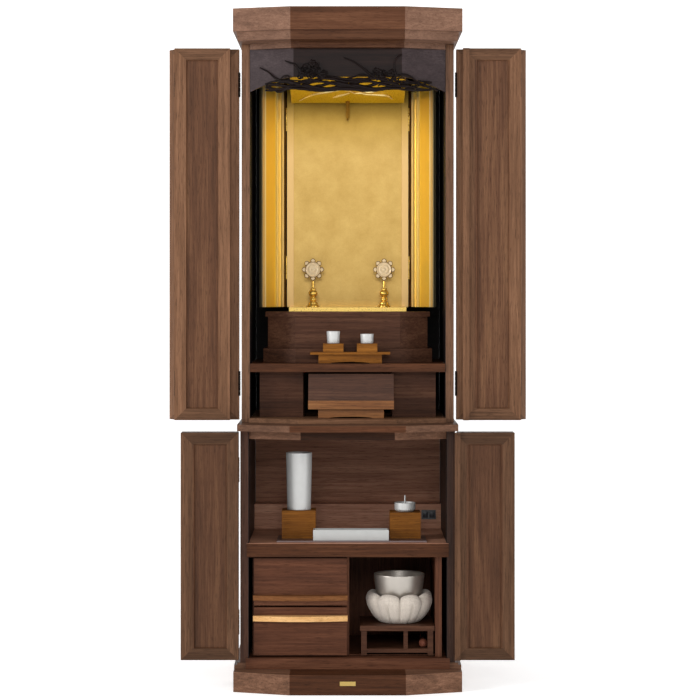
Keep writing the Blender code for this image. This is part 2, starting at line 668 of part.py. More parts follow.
def make_doors(tier, zs, pin_y, leaf_inner, fold, case_front_share, bead):
    """Both bifold doors of one tier, folded open beside the case."""
    bevel = DOOR_T * math.tan(fold)
    bevel_inner = bevel * case_front_share
    bevel_outer = DOOR_T * math.tan(fold - math.atan(bevel_inner / DOOR_T))
    leaf_outer = DOOR_PIN_X - leaf_inner * math.cos(fold) - MEETING_GAP
    fold_x = DOOR_PIN_X + leaf_inner
    fold_y = pin_y - FOLD_GAP / 2
    for side, label in SIDES:
        pin = (side * DOOR_PIN_X, pin_y, zs[0])
        near = DOOR_PIN_X + DOOR_EDGE
        far = fold_x - DOOR_EDGE
        plan = [(near, pin_y), (far, pin_y), (far + bevel_inner, pin_y + DOOR_T), (near, pin_y + DOOR_T)]
        outline = [(side * x, y) for x, y in plan]
        span = sorted((side * near, side * far))
        faces = ((pin_y, 1), (pin_y + DOOR_T, -1))
        door_leaf("door_%s_%s_inner" % (tier, label), outline, span, zs, faces, pin)

        back = fold_y - FOLD_GAP / 2
        front = back - DOOR_T
        free = fold_x - leaf_outer
        plan = [(far, back), (free, back)]
        if side == RIGHT:
            width, over = bead
            plan += [(free, front - REST), (free - over, front - REST), (free - over, front - BEAD_PROUD)]
            plan += [(free - over + width, front - BEAD_PROUD), (free - over + width, front)]
        else:
            plan += [(free, front)]
        plan += [(far + bevel_outer, front)]
        outline = [(side * x, y) for x, y in plan]
        hinge = (side * fold_x, fold_y, zs[0])
        span = sorted((side * free, side * far))
        faces = ((back, -1), (front, 1))
        door_leaf("door_%s_%s_outer" % (tier, label), outline, span, zs, faces, hinge)


# Fittings: heights rest on what is below
CUP_WALL = 2.2
CUP_FLOOR = 3.0
CUPS = {"tea": (-29.0, 12.0, 13.6, 24.4), "rice": (39.0, 12.4, 13.4, 19.0)}
FLOWER_X = 73.4
FLOWER_Y = 26.0
FLOWER_SHIFT = 1.7
BLOSSOM_R = 23.0
BLOSSOM_T = 6.0
STEM_H = 54.2
STEM_R = 2.2
BALL_R = 9.3
BALL_HALF_H = 7.8
BALL_MID = 28.6
STAND_FOOT = ((0.0, 0.0), (12.5, 0.0), (12.5, 2.6), (9.4, 6.0), (8.6, 10.0), (5.2, 11.6))
STAND_FOOT += ((5.2, 13.0), (6.8, 14.5), (6.8, 17.5), (4.4, 20.4))


def make_flowers(base):
    low = base + REST
    for side, label in SIDES:
        centre = (side * FLOWER_X + FLOWER_SHIFT, FLOWER_Y, low)
        profile = list(STAND_FOOT)
        for i in range(1, 7):
            angle = math.pi * i / 7
            profile.append((BALL_R * math.sin(angle), BALL_MID - BALL_HALF_H * math.cos(angle)))
        profile += [(5.4, 37.0), (5.4, 38.2), (STEM_R, 39.6), (STEM_R, STEM_H), (0.0, STEM_H)]
        turned("flower_stand_" + label, profile, centre, "brass", 16)
        outline = []
        blossom_z = low + STEM_H + REST + BLOSSOM_R
        for i in range(48):
            angle = 2.0 * math.pi * i / 48
            radius = BLOSSOM_R * (0.78 + 0.22 * abs(math.cos(4.0 * angle)))
            outline.append((centre[0] + radius * math.sin(angle), blossom_z + radius * math.cos(angle)))
        ys = (FLOWER_Y - BLOSSOM_T / 2, FLOWER_Y + BLOSSOM_T / 2)
        front_profile("flower_blossom_" + label, outline, ys[0], ys[1], "crystal")


OFFER_X = 5.0
OFFER_HALF = 80.4
OFFER_FOOT = 63.7
OFFER_Y = (-96.0, -53.0)
OFFER_Z = (SHELF_TOP + 18.0, SHELF_TOP + 23.0)
BLOCK_HALF = 20.5
BLOCK_TOP = OFFER_Z[1] + 17.0


def arched_board(name, x_mid, half, ys, zs, leg, rise, finish):
    """A board on edge with a low arch cut under it."""
    outline = [(x_mid - half, zs[0]), (x_mid - half + leg, zs[0])]
    span = half - leg
    for i in range(1, 12):
        angle = math.pi * i / 12
        outline.append((x_mid - span * math.cos(angle), zs[0] + rise * math.sin(angle)))
    outline += [(x_mid + half - leg, zs[0]), (x_mid + half, zs[0])]
    outline += [(x_mid + half, zs[1]), (x_mid - half, zs[1])]
    return front_profile(name, outline, ys[0], ys[1], finish)


def make_offering():
    middle = (OFFER_Y[0] + OFFER_Y[1]) / 2
    board_x = (OFFER_X - OFFER_HALF, OFFER_X + OFFER_HALF)
    board = block("offering_stand", board_x, OFFER_Y, OFFER_Z, "amber_wood")
    foot_y = (OFFER_Y[0] + 7.0, OFFER_Y[1] - 3.0)
    foot_z = (SHELF_TOP + REST, OFFER_Z[0] + BITE)
    join(board, arched_board("offering_foot", OFFER_X, OFFER_FOOT, foot_y, foot_z, 24.0, 3.0, "amber_wood"))
    for label, (x, foot, mouth, height) in CUPS.items():
        ys = (middle - BLOCK_HALF, middle + BLOCK_HALF)
        zs = (OFFER_Z[1] + REST, BLOCK_TOP)
        block("cup_block_" + label, (x - BLOCK_HALF, x + BLOCK_HALF), ys, zs, "amber_wood")
        profile = [(0.0, 0.0), (foot, 0.0), (mouth, height), (mouth - CUP_WALL, height)]
        profile += [(foot - CUP_WALL, CUP_FLOOR), (0.0, CUP_FLOOR)]
        turned(label + "_cup", profile, (x, middle, BLOCK_TOP + REST), "satin_silver", 24)


BOOK_X = 6.7
BOOK_FOOT = 65.7
BOOK_HALF = 85.7
BOOK_FOOT_Y = (-108.0, -66.0)
BOOK_LEDGE_Z = (UP_FLOOR_TOP + 18.7, UP_FLOOR_TOP + 35.7)
BOOK_LEDGE_Y = (-118.0, -104.0)
BOOK_PLATE_T = 8.0
BOOK_TOP = (-84.0, UP_FLOOR_TOP + 88.0)


def make_book_rest():
    foot_z = (UP_FLOOR_TOP + REST, BOOK_LEDGE_Z[0] + BITE)
    foot = arched_board("book_rest", BOOK_X, BOOK_FOOT, BOOK_FOOT_Y, foot_z, 22.0, 3.0, "walnut")
    lip = 6.0
    start = (BOOK_LEDGE_Y[0], BOOK_LEDGE_Z[0])
    outline = [start, (BOOK_LEDGE_Y[1] + BOOK_PLATE_T, start[1]), (BOOK_TOP[0] + BOOK_PLATE_T, BOOK_TOP[1])]
    outline += [BOOK_TOP, (BOOK_LEDGE_Y[1], start[1] + lip), (start[0] + lip, start[1] + lip)]
    outline += [(start[0] + lip, BOOK_LEDGE_Z[1]), (start[0], BOOK_LEDGE_Z[1])]
    join(foot, side_profile("book_rest_plate", outline, BOOK_X - BOOK_HALF, BOOK_X + BOOK_HALF))


TRAY_X = 8.0
TRAY_HALF = 149.7
TRAY_Y = (-118.0, -25.0)
TRAY_T = 2.7
VASE_BLOCK = (-98.6, 34.0, (-81.0, -26.0), 56.0)
CANDLE_BLOCK = (116.0, 31.0, (-81.0, -27.0), 52.0)
INCENSE_X = 6.5
INCENSE_HALF = 75.5
INCENSE_Y = (-115.0, -83.0)
INCENSE_H = 21.0
INCENSE_WALL = 3.0
INCENSE_FLOOR = 9.0
VASE_R = (23.8, 26.3)
VASE_H = 115.0
VASE_WALL = 2.6


def make_table_set():
    tray_x = (TRAY_X - TRAY_HALF, TRAY_X + TRAY_HALF)
    tray_top = TABLE_TOP + REST + TRAY_T
    block("altar_tray", tray_x, TRAY_Y, (TABLE_TOP + REST, tray_top), "walnut_dark")
    low = tray_top + REST
    tops = {}
    for label, (x, half, ys, height) in (("vase", VASE_BLOCK), ("candle", CANDLE_BLOCK)):
        block(label + "_block", (x - half, x + half), ys, (low, low + height), "amber_wood")
        tops[label] = (x, (ys[0] + ys[1]) / 2, low + height + REST)
    foot, mouth = VASE_R
    profile = [(0.0, 0.0), (foot, 0.0), (mouth, VASE_H), (mouth - VASE_WALL, VASE_H)]
    profile += [(foot - VASE_WALL, 2 * VASE_WALL), (0.0, 2 * VASE_WALL)]
    turned("vase", profile, tops["vase"], "satin_silver")
    profile = [(0.0, 0.0), (17.0, 0.0), (21.0, 4.0), (21.0, 18.0), (18.6, 18.0), (18.6, 6.0), (4.0, 6.0)]
    profile += [(2.0, 12.0), (1.2, 32.0), (0.0, 33.0)]
    turned("candle_cup", profile, tops["candle"], "satin_silver", 24)
    xs = (INCENSE_X - INCENSE_HALF, INCENSE_X + INCENSE_HALF)
    burner = block("incense_burner", xs, INCENSE_Y, (low, low + INCENSE_H), "satin_silver")
    hollow_x = (xs[0] + INCENSE_WALL, xs[1] - INCENSE_WALL)
    hollow_y = (INCENSE_Y[0] + INCENSE_WALL, INCENSE_Y[1] - INCENSE_WALL)
    cut(burner, block("incense_hollow", hollow_x, hollow_y, (low + INCENSE_FLOOR, low + INCENSE_H + BITE)))


STAND_X = (CHEST_MIDDLE + 21.6, CHEST_RIGHT - 14.6)
STAND_Y = (-124.0, 4.0)
STAND_BOARD = (FLOOR_TOP + 52.0, FLOOR_TOP + 62.0)
STAND_SHELF = (FLOOR_TOP + 8.0, FLOOR_TOP + 16.0)
STAND_LEG_INSET = 2.4
STAND_LEG_T = 11.0
STAND_POST = (STAND_X[1] - 61.5, STAND_X[1] - 53.0)
BELL_Y = -60.0
CUSHION_R = 69.5
BELL_X = CHEST_RIGHT - CHEST_WALL - CUSHION_R - RUN
BELL_BASE = STAND_BOARD[1] + 28.5
BELL_RIM = BELL_BASE + 68.0
BELL_R = 51.5
BELL_WALL = 2.4
STRIKER_X = STAND_X[1] - 22.0
STRIKER_R = 8.4
STRIKER_L = 105.0


def make_bell():
    low = FLOOR_TOP + REST + CHEST_BOTTOM_T + REST
    stand = block("bell_stand", STAND_X, STAND_Y, STAND_BOARD)
    leg_y = (STAND_Y[0] + STAND_LEG_INSET, STAND_Y[1] - STAND_LEG_INSET)
    leg_z = (low, STAND_BOARD[0] + BITE)
    left = STAND_X[0] + STAND_LEG_INSET
    right = STAND_X[1] - STAND_LEG_INSET
    join(stand, block("bell_leg_left", (left, left + STAND_LEG_T), leg_y, leg_z))
    join(stand, block("bell_leg_right", (right - STAND_LEG_T, right), leg_y, leg_z))
    shelf_y = (leg_y[0] + BITE, leg_y[1] - BITE)
    join(stand, block("bell_shelf", (left + BITE, right - BITE), shelf_y, STAND_SHELF))
    post_y = (shelf_y[0] + BITE, shelf_y[0] + BITE + STAND_POST[1] - STAND_POST[0])
    join(stand, block("bell_post", STAND_POST, post_y, (STAND_SHELF[1] - BITE, STAND_BOARD[0] + BITE)))

    bottom = STAND_BOARD[1] + REST
    seat = BELL_BASE - REST - bottom
    dish = [(0.0, seat), (27.0, seat + 0.6), (41.0, seat + 12.0), (49.5, seat + 29.0), (58.0, seat + 32.5)]
    shell = [(CUSHION_R - 2.0, seat + 30.0), (CUSHION_R, seat + 22.0), (64.0, seat + 4.0)]
    shell += [(50.0, 8.0), (40.0, 0.0), (0.0, 0.0)]
    turned("bell_cushion", dish + shell, (BELL_X, BELL_Y, bottom), "cloth", 32)

    height = BELL_RIM - BELL_BASE
    outer = [(0.0, 0.0), (22.0, 0.4), (33.0, 6.0), (41.0, 16.0), (46.5, 32.0), (49.5, 50.0), (BELL_R, height)]
    inner = [(max(r - BELL_WALL, 0.0), z if z == height else z + BELL_WALL) for r, z in reversed(outer)]
    turned("bell_bowl", outer + inner, (BELL_X, BELL_Y, BELL_BASE), "satin_silver", 32)

    z = STAND_SHELF[1] + REST + STRIKER_R
    head = [(0.0, 0.0), (4.5, 1.2), (STRIKER_R, 6.0), (STRIKER_R, 20.0), (4.5, 24.0)]
    profile = head + [(3.4, 27.0), (4.2, STRIKER_L - 3.0), (2.5, STRIKER_L), (0.0, STRIKER_L)]
    turned("striker", profile, (STRIKER_X, STAND_Y[0] + 12.0, z), "walnut", 14, along_y=True)


def build():
    clear_scene()
    make_plinth()
    make_lower_floor()
    make_lower_case()
    make_chest()
    make_power_ledge()
    make_upper_case()
    make_cornice()
    make_valance()
    make_branch()
    pedestal_top = make_pedestal()
    ledge_top = make_gold(pedestal_top)
    make_doors("upper", UP_DOOR_Z, UP_FRONT, UP_LEAF_INNER, UP_DOOR_FOLD, 1.0, UP_BEAD)
    make_doors("lower", LOW_DOOR_Z, LOW_FRONT, LOW_LEAF_INNER, LOW_DOOR_FOLD, 0.5, LOW_BEAD)
    make_flowers(ledge_top)
    make_offering()
    make_book_rest()
    make_table_set()
    make_bell()


build()
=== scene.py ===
"""Looks of the household altar cabinet: finishes, carving, cushion, hinges, light and camera."""

import math
import random

import bmesh
import bpy
from mathutils import Matrix, Vector, noise


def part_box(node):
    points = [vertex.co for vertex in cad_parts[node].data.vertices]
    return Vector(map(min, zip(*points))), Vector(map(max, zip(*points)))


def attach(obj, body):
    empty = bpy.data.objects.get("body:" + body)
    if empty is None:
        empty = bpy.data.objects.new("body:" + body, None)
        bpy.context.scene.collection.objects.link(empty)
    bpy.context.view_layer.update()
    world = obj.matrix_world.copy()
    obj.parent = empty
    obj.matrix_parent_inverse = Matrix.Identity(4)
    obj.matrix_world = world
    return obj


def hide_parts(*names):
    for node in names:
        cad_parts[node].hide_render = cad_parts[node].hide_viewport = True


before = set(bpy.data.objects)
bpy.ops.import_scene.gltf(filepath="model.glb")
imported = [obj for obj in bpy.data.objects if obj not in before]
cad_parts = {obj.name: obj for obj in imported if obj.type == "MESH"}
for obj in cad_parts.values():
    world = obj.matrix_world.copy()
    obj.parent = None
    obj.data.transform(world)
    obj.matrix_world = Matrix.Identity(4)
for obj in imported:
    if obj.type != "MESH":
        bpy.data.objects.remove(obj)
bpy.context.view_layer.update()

MM = 0.001
SIDES = ((-1, "left"), (1, "right"))
TIERS = ("upper", "lower")


# Camera, worked out from the photograph: level, 4.2 m in front of the foremost face
CAMERA_Y = -4.4
CAMERA_Z = 0.805
CAMERA_LENS = 110.3
CAMERA_SHIFT = (0.0033, -0.0937)


def make_camera():
    data = bpy.data.cameras.new("camera")
    data.lens = CAMERA_LENS
    data.sensor_width = 36.0
    data.shift_x, data.shift_y = CAMERA_SHIFT
    data.clip_end = 60.0
    camera = bpy.data.objects.new("camera", data)
    camera.location = (0.0, CAMERA_Y, CAMERA_Z)
    camera.rotation_euler = (math.radians(90.0), 0.0, 0.0)
    bpy.context.scene.collection.objects.link(camera)
    bpy.context.scene.camera = camera


# Stage in metres, and lights with their place, aim, size and power in watts
STAGE_HALF = 9.0
STAGE_NEAR = -7.0
STAGE_BACK = 4.0
STAGE_SWEEP = 1.5
STAGE_TOP = 7.0
STAGE_GLOW = 0.5
WHITE = (1.0, 1.0, 1.0, 1.0)
SKY = 0.38
LIGHTS = (
    ("key", (-3.7, -2.3, 1.9), (0.0, 0.0, 0.75), (1.2, 1.8), 92.0),
    ("fill", (3.7, -2.3, 1.5), (0.0, 0.0, 0.7), (1.2, 1.8), 40.0),
    ("front", (0.0, -4.9, 1.9), (0.0, 0.0, 0.6), (1.8, 1.0), 42.0),
)


def add_light(name, place, aim, size, power):
    data = bpy.data.lights.new(name, "AREA")
    data.shape = "RECTANGLE"
    data.size, data.size_y = size
    data.energy = power
    light = bpy.data.objects.new(name, data)
    light.location = place
    light.rotation_euler = (Vector(aim) - Vector(place)).to_track_quat("-Z", "Y").to_euler()
    bpy.context.scene.collection.objects.link(light)


def make_stage():
    """A pale floor that sweeps up behind, lit by soft boxes."""
    outline = [(STAGE_NEAR, 0.0)]
    for i in range(9):
        angle = math.pi / 2 * i / 8
        outline.append((STAGE_BACK + STAGE_SWEEP * math.sin(angle), STAGE_SWEEP * (1.0 - math.cos(angle))))
    outline.append((STAGE_BACK + STAGE_SWEEP, STAGE_TOP))
    bm = bmesh.new()
    rows = [[bm.verts.new((x, y, z)) for y, z in outline] for x in (-STAGE_HALF, STAGE_HALF)]
    for i in range(len(outline) - 1):
        bm.faces.new((rows[0][i], rows[1][i], rows[1][i + 1], rows[0][i + 1]))
    mesh = bpy.data.meshes.new("floor")
    bm.to_mesh(mesh)
    bm.free()
    floor = bpy.data.objects.new("floor", mesh)
    bpy.context.scene.collection.objects.link(floor)
    mesh.shade_smooth()
    paper = Paint("stage_paper", (0.92, 0.92, 0.92), 0.9, Emission_Color=WHITE, Emission_Strength=STAGE_GLOW)
    mesh.materials.append(paper.material)


def make_lights():
    world = bpy.data.worlds.new("studio")
    world.use_nodes = True
    sky = world.node_tree.nodes["Background"]
    sky.inputs["Color"].default_value = WHITE
    sky.inputs["Strength"].default_value = SKY
    bpy.context.scene.world = world
    bpy.context.scene.view_settings.view_transform = "Standard"
    for light in LIGHTS:
        add_light(*light)


class Paint:
    """A node material as it is put together."""

    def __init__(self, name, colour, roughness, **values):
        self.material = bpy.data.materials.new(name)
        self.material.use_nodes = True
        self.tree = self.material.node_tree
        self.surface = self.tree.nodes["Principled BSDF"]
        self.set(Base_Color=(*colour, 1.0), Roughness=roughness, **values)

    def set(self, **values):
        for key, value in values.items():
            self.surface.inputs[key.replace("_", " ")].default_value = value

    def add(self, kind, **settings):
        node = self.tree.nodes.new(kind)
        for key, value in settings.items():
            setattr(node, key, value)
        return node

    def feed(self, socket, value):
        if isinstance(value, bpy.types.NodeSocket):
            self.tree.links.new(value, socket)
        else:
            socket.default_value = value

    def place(self, scale=1.0):
        """Places on the object, scaled alike or by a number for each axis."""
        coords = self.add("ShaderNodeTexCoord")
        mapping = self.add("ShaderNodeMapping")
        mapping.inputs["Scale"].default_value = scale if isinstance(scale, tuple) else (scale, scale, scale)
        self.feed(mapping.inputs["Vector"], coords.outputs["Object"])
        return mapping.outputs["Vector"]

    def noise(self, scale, detail, rough=0.55, warp=0.0):
        node = self.add("ShaderNodeTexNoise")
        self.feed(node.inputs["Vector"], self.place(scale))
        settings = {"Scale": 1.0, "Detail": detail, "Roughness": rough, "Distortion": warp}
        for key, value in settings.items():
            node.inputs[key].default_value = value
        return node.outputs["Fac"]

    def ramp(self, value, stops):
        node = self.add("ShaderNodeValToRGB")
        self.feed(node.inputs["Fac"], value)
        marks = node.color_ramp.elements
        while len(marks) < len(stops):
            marks.new(0.5)
        for mark, (position, colour) in zip(marks, stops):
            mark.position = position
            mark.color = (*colour, 1.0) if isinstance(colour, tuple) else (colour, colour, colour, 1.0)
        return node.outputs["Color"]

    def mix(self, share, a, b, way="MIX"):
        node = self.add("ShaderNodeMix", data_type="RGBA", blend_type=way)
        self.feed(node.inputs[0], share)
        self.feed(node.inputs[6], a)
        self.feed(node.inputs[7], b)
        return node.outputs[2]

    def sum(self, operation, a, b=0.0):
        node = self.add("ShaderNodeMath", operation=operation)
        self.feed(node.inputs[0], a)
        self.feed(node.inputs[1], b)
        return node.outputs[0]

    def xyz(self):
        node = self.add("ShaderNodeSeparateXYZ")
        self.feed(node.inputs[0], self.place())
        return node.outputs

    def bump(self, height, strength=0.2, depth=0.0006):
        node = self.add("ShaderNodeBump")
        self.feed(node.inputs["Height"], height)
        node.inputs["Strength"].default_value = strength
        node.inputs["Distance"].default_value = depth
        self.feed(self.surface.inputs["Normal"], node.outputs["Normal"])

    def colour(self, value):
        self.feed(self.surface.inputs["Base Color"], value)

    def gloss(self, pattern, spread, base):
        """Roughness that follows a pattern: base where it is 0, and spread more where it is 1."""
        value = self.sum("ADD", self.sum("MULTIPLY", pattern, spread), base)
        self.feed(self.surface.inputs["Roughness"], value)


def srgb(red, green, blue):
    """A colour given as 0 to 255 on screen, in linear light."""
    return tuple(((value / 255.0 + 0.055) / 1.055) ** 2.4 for value in (red, green, blue))


def along(axis, length, across):
    """Texture scales that draw a pattern out along one axis."""
    return tuple(length if axis == name else across for name in "xyz")


# Grain of all woods: scale along and across it for its figure, fibres and pores
FIGURE = (1.6, 22.0)
FIBRE = (7.0, 260.0)
PORES = (45.0, 900.0)
FIGURE_SHARE = 0.52
PORE_DARK = 0.42
PORE_COVER = 0.55
PORE_ROUGH = 0.16
PORE_DEPTH = 0.0003
WOOD_ROUGH = 0.48


def wood_layers(paint, axis, dark, mid, light):
    """Colour and pore mask of straight-grained wood that runs along an axis."""
    figure = paint.sum("MULTIPLY", paint.noise(along(axis, *FIGURE), 4.0, 0.6, 1.2), FIGURE_SHARE)
    fibre = paint.sum("MULTIPLY", paint.noise(along(axis, *FIBRE), 3.0, 0.65), 1.0 - FIGURE_SHARE)
    body = paint.ramp(paint.sum("ADD", figure, fibre), ((0.32, dark), (0.5, mid), (0.68, light)))
    pores = paint.ramp(paint.noise(along(axis, *PORES), 2.0, 0.6), ((0.56, 0.0), (0.66, 1.0)))
    deep = tuple(value * PORE_DARK for value in dark)
    return paint.mix(paint.sum("MULTIPLY", pores, PORE_COVER), body, (*deep, 1.0)), pores


def finish_wood(paint, colour, pores, base=None, relief=-0.25, specular=0.12):
    """Sets the colour, sinks the pores and, where a base roughness is given, makes them rougher."""
    paint.colour(colour)
    if base:
        paint.gloss(pores, PORE_ROUGH, base)
    paint.bump(pores, relief, PORE_DEPTH)
    paint.set(Specular_IOR_Level=specular)
    return paint.material


def wood(name, axis, dark, mid, light, roughness=WOOD_ROUGH):
    paint = Paint(name, mid, roughness)
    colour, pores = wood_layers(paint, axis, dark, mid, light)
    return finish_wood(paint, colour, pores, roughness)


# Tones of each wood on screen: dark, middle and light
WALNUT = (srgb(84, 56, 38), srgb(114, 80, 57), srgb(144, 104, 77))
# Door panels: darker walnut, painted shade in their recess
WALNUT_SHADED_PANEL = (srgb(66, 43, 30), srgb(94, 62, 43), srgb(124, 88, 62))
# The next four are shaded copies for the faceted boards' middles and lit copies for their ends: painted
# light and shade
WALNUT_FRONT = (srgb(52, 28, 15), srgb(75, 43, 24), srgb(101, 61, 38))
WALNUT_LIT_ENDS = (srgb(70, 47, 35), srgb(97, 68, 51), srgb(126, 91, 71))
CORNICE_FRONT = (srgb(62, 37, 22), srgb(88, 53, 33), srgb(113, 74, 50))
CORNICE_LIT_ENDS = (srgb(98, 70, 55), srgb(124, 91, 73), srgb(150, 113, 92))
WALNUT_RED = (srgb(66, 38, 25), srgb(92, 55, 37), srgb(118, 76, 54))
WALNUT_DEEP = (srgb(54, 32, 22), srgb(78, 48, 33), srgb(102, 68, 49))
WALNUT_DARK = (srgb(22, 13, 12), srgb(34, 21, 18), srgb(50, 33, 29))
AMBER = (srgb(84, 46, 10), srgb(120, 72, 18), srgb(154, 98, 34))
MAPLE = (srgb(196, 142, 84), srgb(220, 168, 108), srgb(236, 190, 132))
BROWN_PULL = (srgb(92, 54, 28), srgb(118, 74, 40), srgb(140, 94, 54))
STRIP_BROWN = (srgb(96, 54, 24), srgb(132, 82, 40), srgb(160, 108, 60))
# Lit copy for the valance's side facets: painted light
VALANCE_LIT_END = (srgb(52, 42, 43), srgb(64, 53, 54), srgb(78, 66, 67))
# Paler walnut for the lower niche's back: painted light
BACK_LIT = (srgb(122, 82, 62), srgb(162, 114, 90), srgb(194, 145, 118))
# Paler walnut for the power ledge and the table's top: painted light
LEDGE_LIT = (srgb(152, 102, 78), srgb(184, 132, 106), srgb(208, 160, 132))
# Near black for the niche's inner walls and the outlet's slots: painted shade
SHADE_BLACK = srgb(20, 14, 13)
# Near-black tones for the upper back: painted shade
NICHE_SHADE_TONES = (srgb(16, 11, 10), srgb(22, 15, 13), srgb(30, 21, 18))
GOLD_PALE = srgb(204, 167, 108)
GOLD_DEEP = srgb(214, 150, 30)

# Places in metres that the finishes follow
SCREEN_FRAME = 0.0138
WING_PIN = (0.132, 0.06)
WING_BANDS = (
    # A dark band next to the pin: painted shade of the gap beside the wing
    (0.0, srgb(48, 28, 10)),
    (7.0, srgb(252, 226, 160)),
    (12.0, srgb(253, 220, 124)),
    (24.0, srgb(255, 236, 160)),
    (28.0, srgb(252, 204, 76)),
    (56.5, srgb(255, 242, 184)),
    (61.0, srgb(226, 190, 122)),
    (67.0, srgb(138, 134, 108)),
    (71.0, srgb(138, 134, 108)),
)
SCREEN_SHADE = ((0.05, (0.42, 0.4, 0.12)), (0.18, (0.72, 0.68, 0.42)), (0.34, (1.0, 1.0, 1.0)))
CORNICE_FACET = 0.1125
# Height below which the cornice's lower band is painted darker, as shade
CORNICE_SHADE_BELOW = 1.3049
SLAB_FACET = 0.114
HEADER_FACET = 0.093
# Height above which the plinth's top is painted pale, as light
PLINTH_TOP = 0.056
VALANCE_FACET = 0.108
TOP_SKIN = 0.0005
FRONT_SKIN = 0.002
LEAF_FRAME = 0.0235
NICHE_HALF = {"upper": 0.196, "lower": 0.197}
BOOK_LEDGE_TOP = 0.5728
BOOK_LEDGE_BACK = -0.1115
BOOK_FOOT_TOP = 0.5556

# How dark the rails are against the stiles, and how much darker the painted shade makes the cornice's lower
# band and the lower tier's doors
RAIL_SHARE = 0.72
BAND_SHADE_SHARES = (0.72, 0.8)
# The lower tier's doors are painted darker, as shade
LEAF_SHADE_SHARES = {"upper": 1.0, "lower": 0.62}


def toned(tones, share):
    """The same wood, darker or lighter."""
    return tuple(tuple(value * share for value in tone) for tone in tones)


def top_of(node):
    """The height from which a board's own top is painted."""
    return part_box(node)[1][2] - TOP_SKIN


def framed_wood(node, share):
    """Door leaf: stiles along Z, darker rails along X with mitred corners, and a panel painted darker as the
    shade in its recess. A share below one darkens the whole leaf as painted shade, the panel by half as
    much.
    """
    low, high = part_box(node)
    paint = Paint(node + "_wood", WALNUT[1], WOOD_ROUGH)
    upright, upright_pores = wood_layers(paint, "z", *toned(WALNUT, share))
    level, level_pores = wood_layers(paint, "x", *toned(WALNUT, share * RAIL_SHARE))
    panel, panel_pores = wood_layers(paint, "z", *toned(WALNUT_SHADED_PANEL, (share + 1.0) / 2))
    spots = paint.xyz()
    edges = []
    for axis in (0, 2):
        below = paint.sum("SUBTRACT", spots[axis], low[axis])
        above = paint.sum("SUBTRACT", high[axis], spots[axis])
        edges.append(paint.sum("MINIMUM", below, above))
    is_rail = paint.sum("LESS_THAN", edges[1], edges[0])
    inside = paint.sum("GREATER_THAN", paint.sum("MINIMUM", edges[0], edges[1]), LEAF_FRAME)
    colour = paint.mix(inside, paint.mix(is_rail, upright, level), panel)
    pores = paint.mix(inside, paint.mix(is_rail, upright_pores, level_pores), panel_pores)
    return finish_wood(paint, colour, pores, WOOD_ROUGH - 0.02)


def faceted_wood(name, facet, middle, ends, top=10.0, shade_below=0.0):
    """Board with a flat middle, out to facet, and turned-back ends: painted light and shade, the middle in a
    shaded tone and the ends in a lit one.
    Above top and at the back it is painted as pale as the ends, and below the last height given it is
    painted a little darker, as shade."""
    paint = Paint(name, middle[1], WOOD_ROUGH)
    front, pores = wood_layers(paint, "x", *middle)
    lit, _ = wood_layers(paint, "x", *ends)
    spots = paint.xyz()
    beyond = paint.sum("GREATER_THAN", paint.sum("ABSOLUTE", spots[0]), facet)
    above = paint.sum("GREATER_THAN", spots[2], top)
    behind = paint.sum("GREATER_THAN", spots[1], 0.0)
    # Below the given height the middle and the ends are painted darker, as the shade on a lower band
    if shade_below:
        in_band_shade = paint.sum("LESS_THAN", spots[2], shade_below)
        front = paint.mix(in_band_shade, front, wood_layers(paint, "x", *toned(middle, BAND_SHADE_SHARES[0]))[0])
        lit = paint.mix(in_band_shade, lit, wood_layers(paint, "x", *toned(ends, BAND_SHADE_SHARES[1]))[0])
    # Where the ends, the top and the back are painted in the lit tone
    painted_lit = paint.sum("MAXIMUM", beyond, paint.sum("MAXIMUM", above, behind))
    return finish_wood(paint, paint.mix(painted_lit, front, lit), pores, WOOD_ROUGH)


def metal(name, colour, roughness, axis="x", brush=0.08, metallic=1.0):
    paint = Paint(name, colour, roughness, Metallic=metallic)
    hair = paint.noise(along(axis, 12.0, 900.0), 2.0)
    cloud = paint.noise(60.0, 3.0)
    shade = tuple(value * 0.86 for value in colour)
    paint.colour(paint.mix(cloud, (*colour, 1.0), (*shade, 1.0)))
    paint.gloss(hair, brush, roughness - brush / 2)
    paint.bump(hair, 0.05, 0.0001)
    return paint.material


def leaf_layers(paint, deep, bright, mottle):
    """Cloudy gold and its fine speckle."""
    cloud = paint.noise(26.0, 5.0, 0.62)
    speck = paint.noise(420.0, 2.0)
    tone = paint.sum("ADD", paint.sum("MULTIPLY", cloud, 0.7), paint.sum("MULTIPLY", speck, 0.3))
    return paint.ramp(tone, ((0.5 - mottle, deep), (0.5 + mottle, bright))), speck


def finish_gold(paint, colour, speck, roughness):
    paint.colour(colour)
    paint.gloss(speck, 0.2, roughness - 0.1)
    paint.bump(speck, 0.1, 0.0002)
    return paint.material


def gold_leaf(name, bright, deep, roughness, mottle, metallic=0.85):
    paint = Paint(name, bright, roughness, Metallic=metallic)
    colour, speck = leaf_layers(paint, deep, bright, mottle)
    return finish_gold(paint, colour, speck, roughness)


def banded(paint, distance, bands):
    """Colours that change with a distance in metres; each band starts where it says, in millimetres."""
    reach = bands[-1][0]
    share = paint.sum("DIVIDE", distance, reach * MM)
    colour = paint.ramp(share, [(start / reach, tone) for start, tone in bands])
    colour.node.color_ramp.interpolation = "CONSTANT"
    return colour


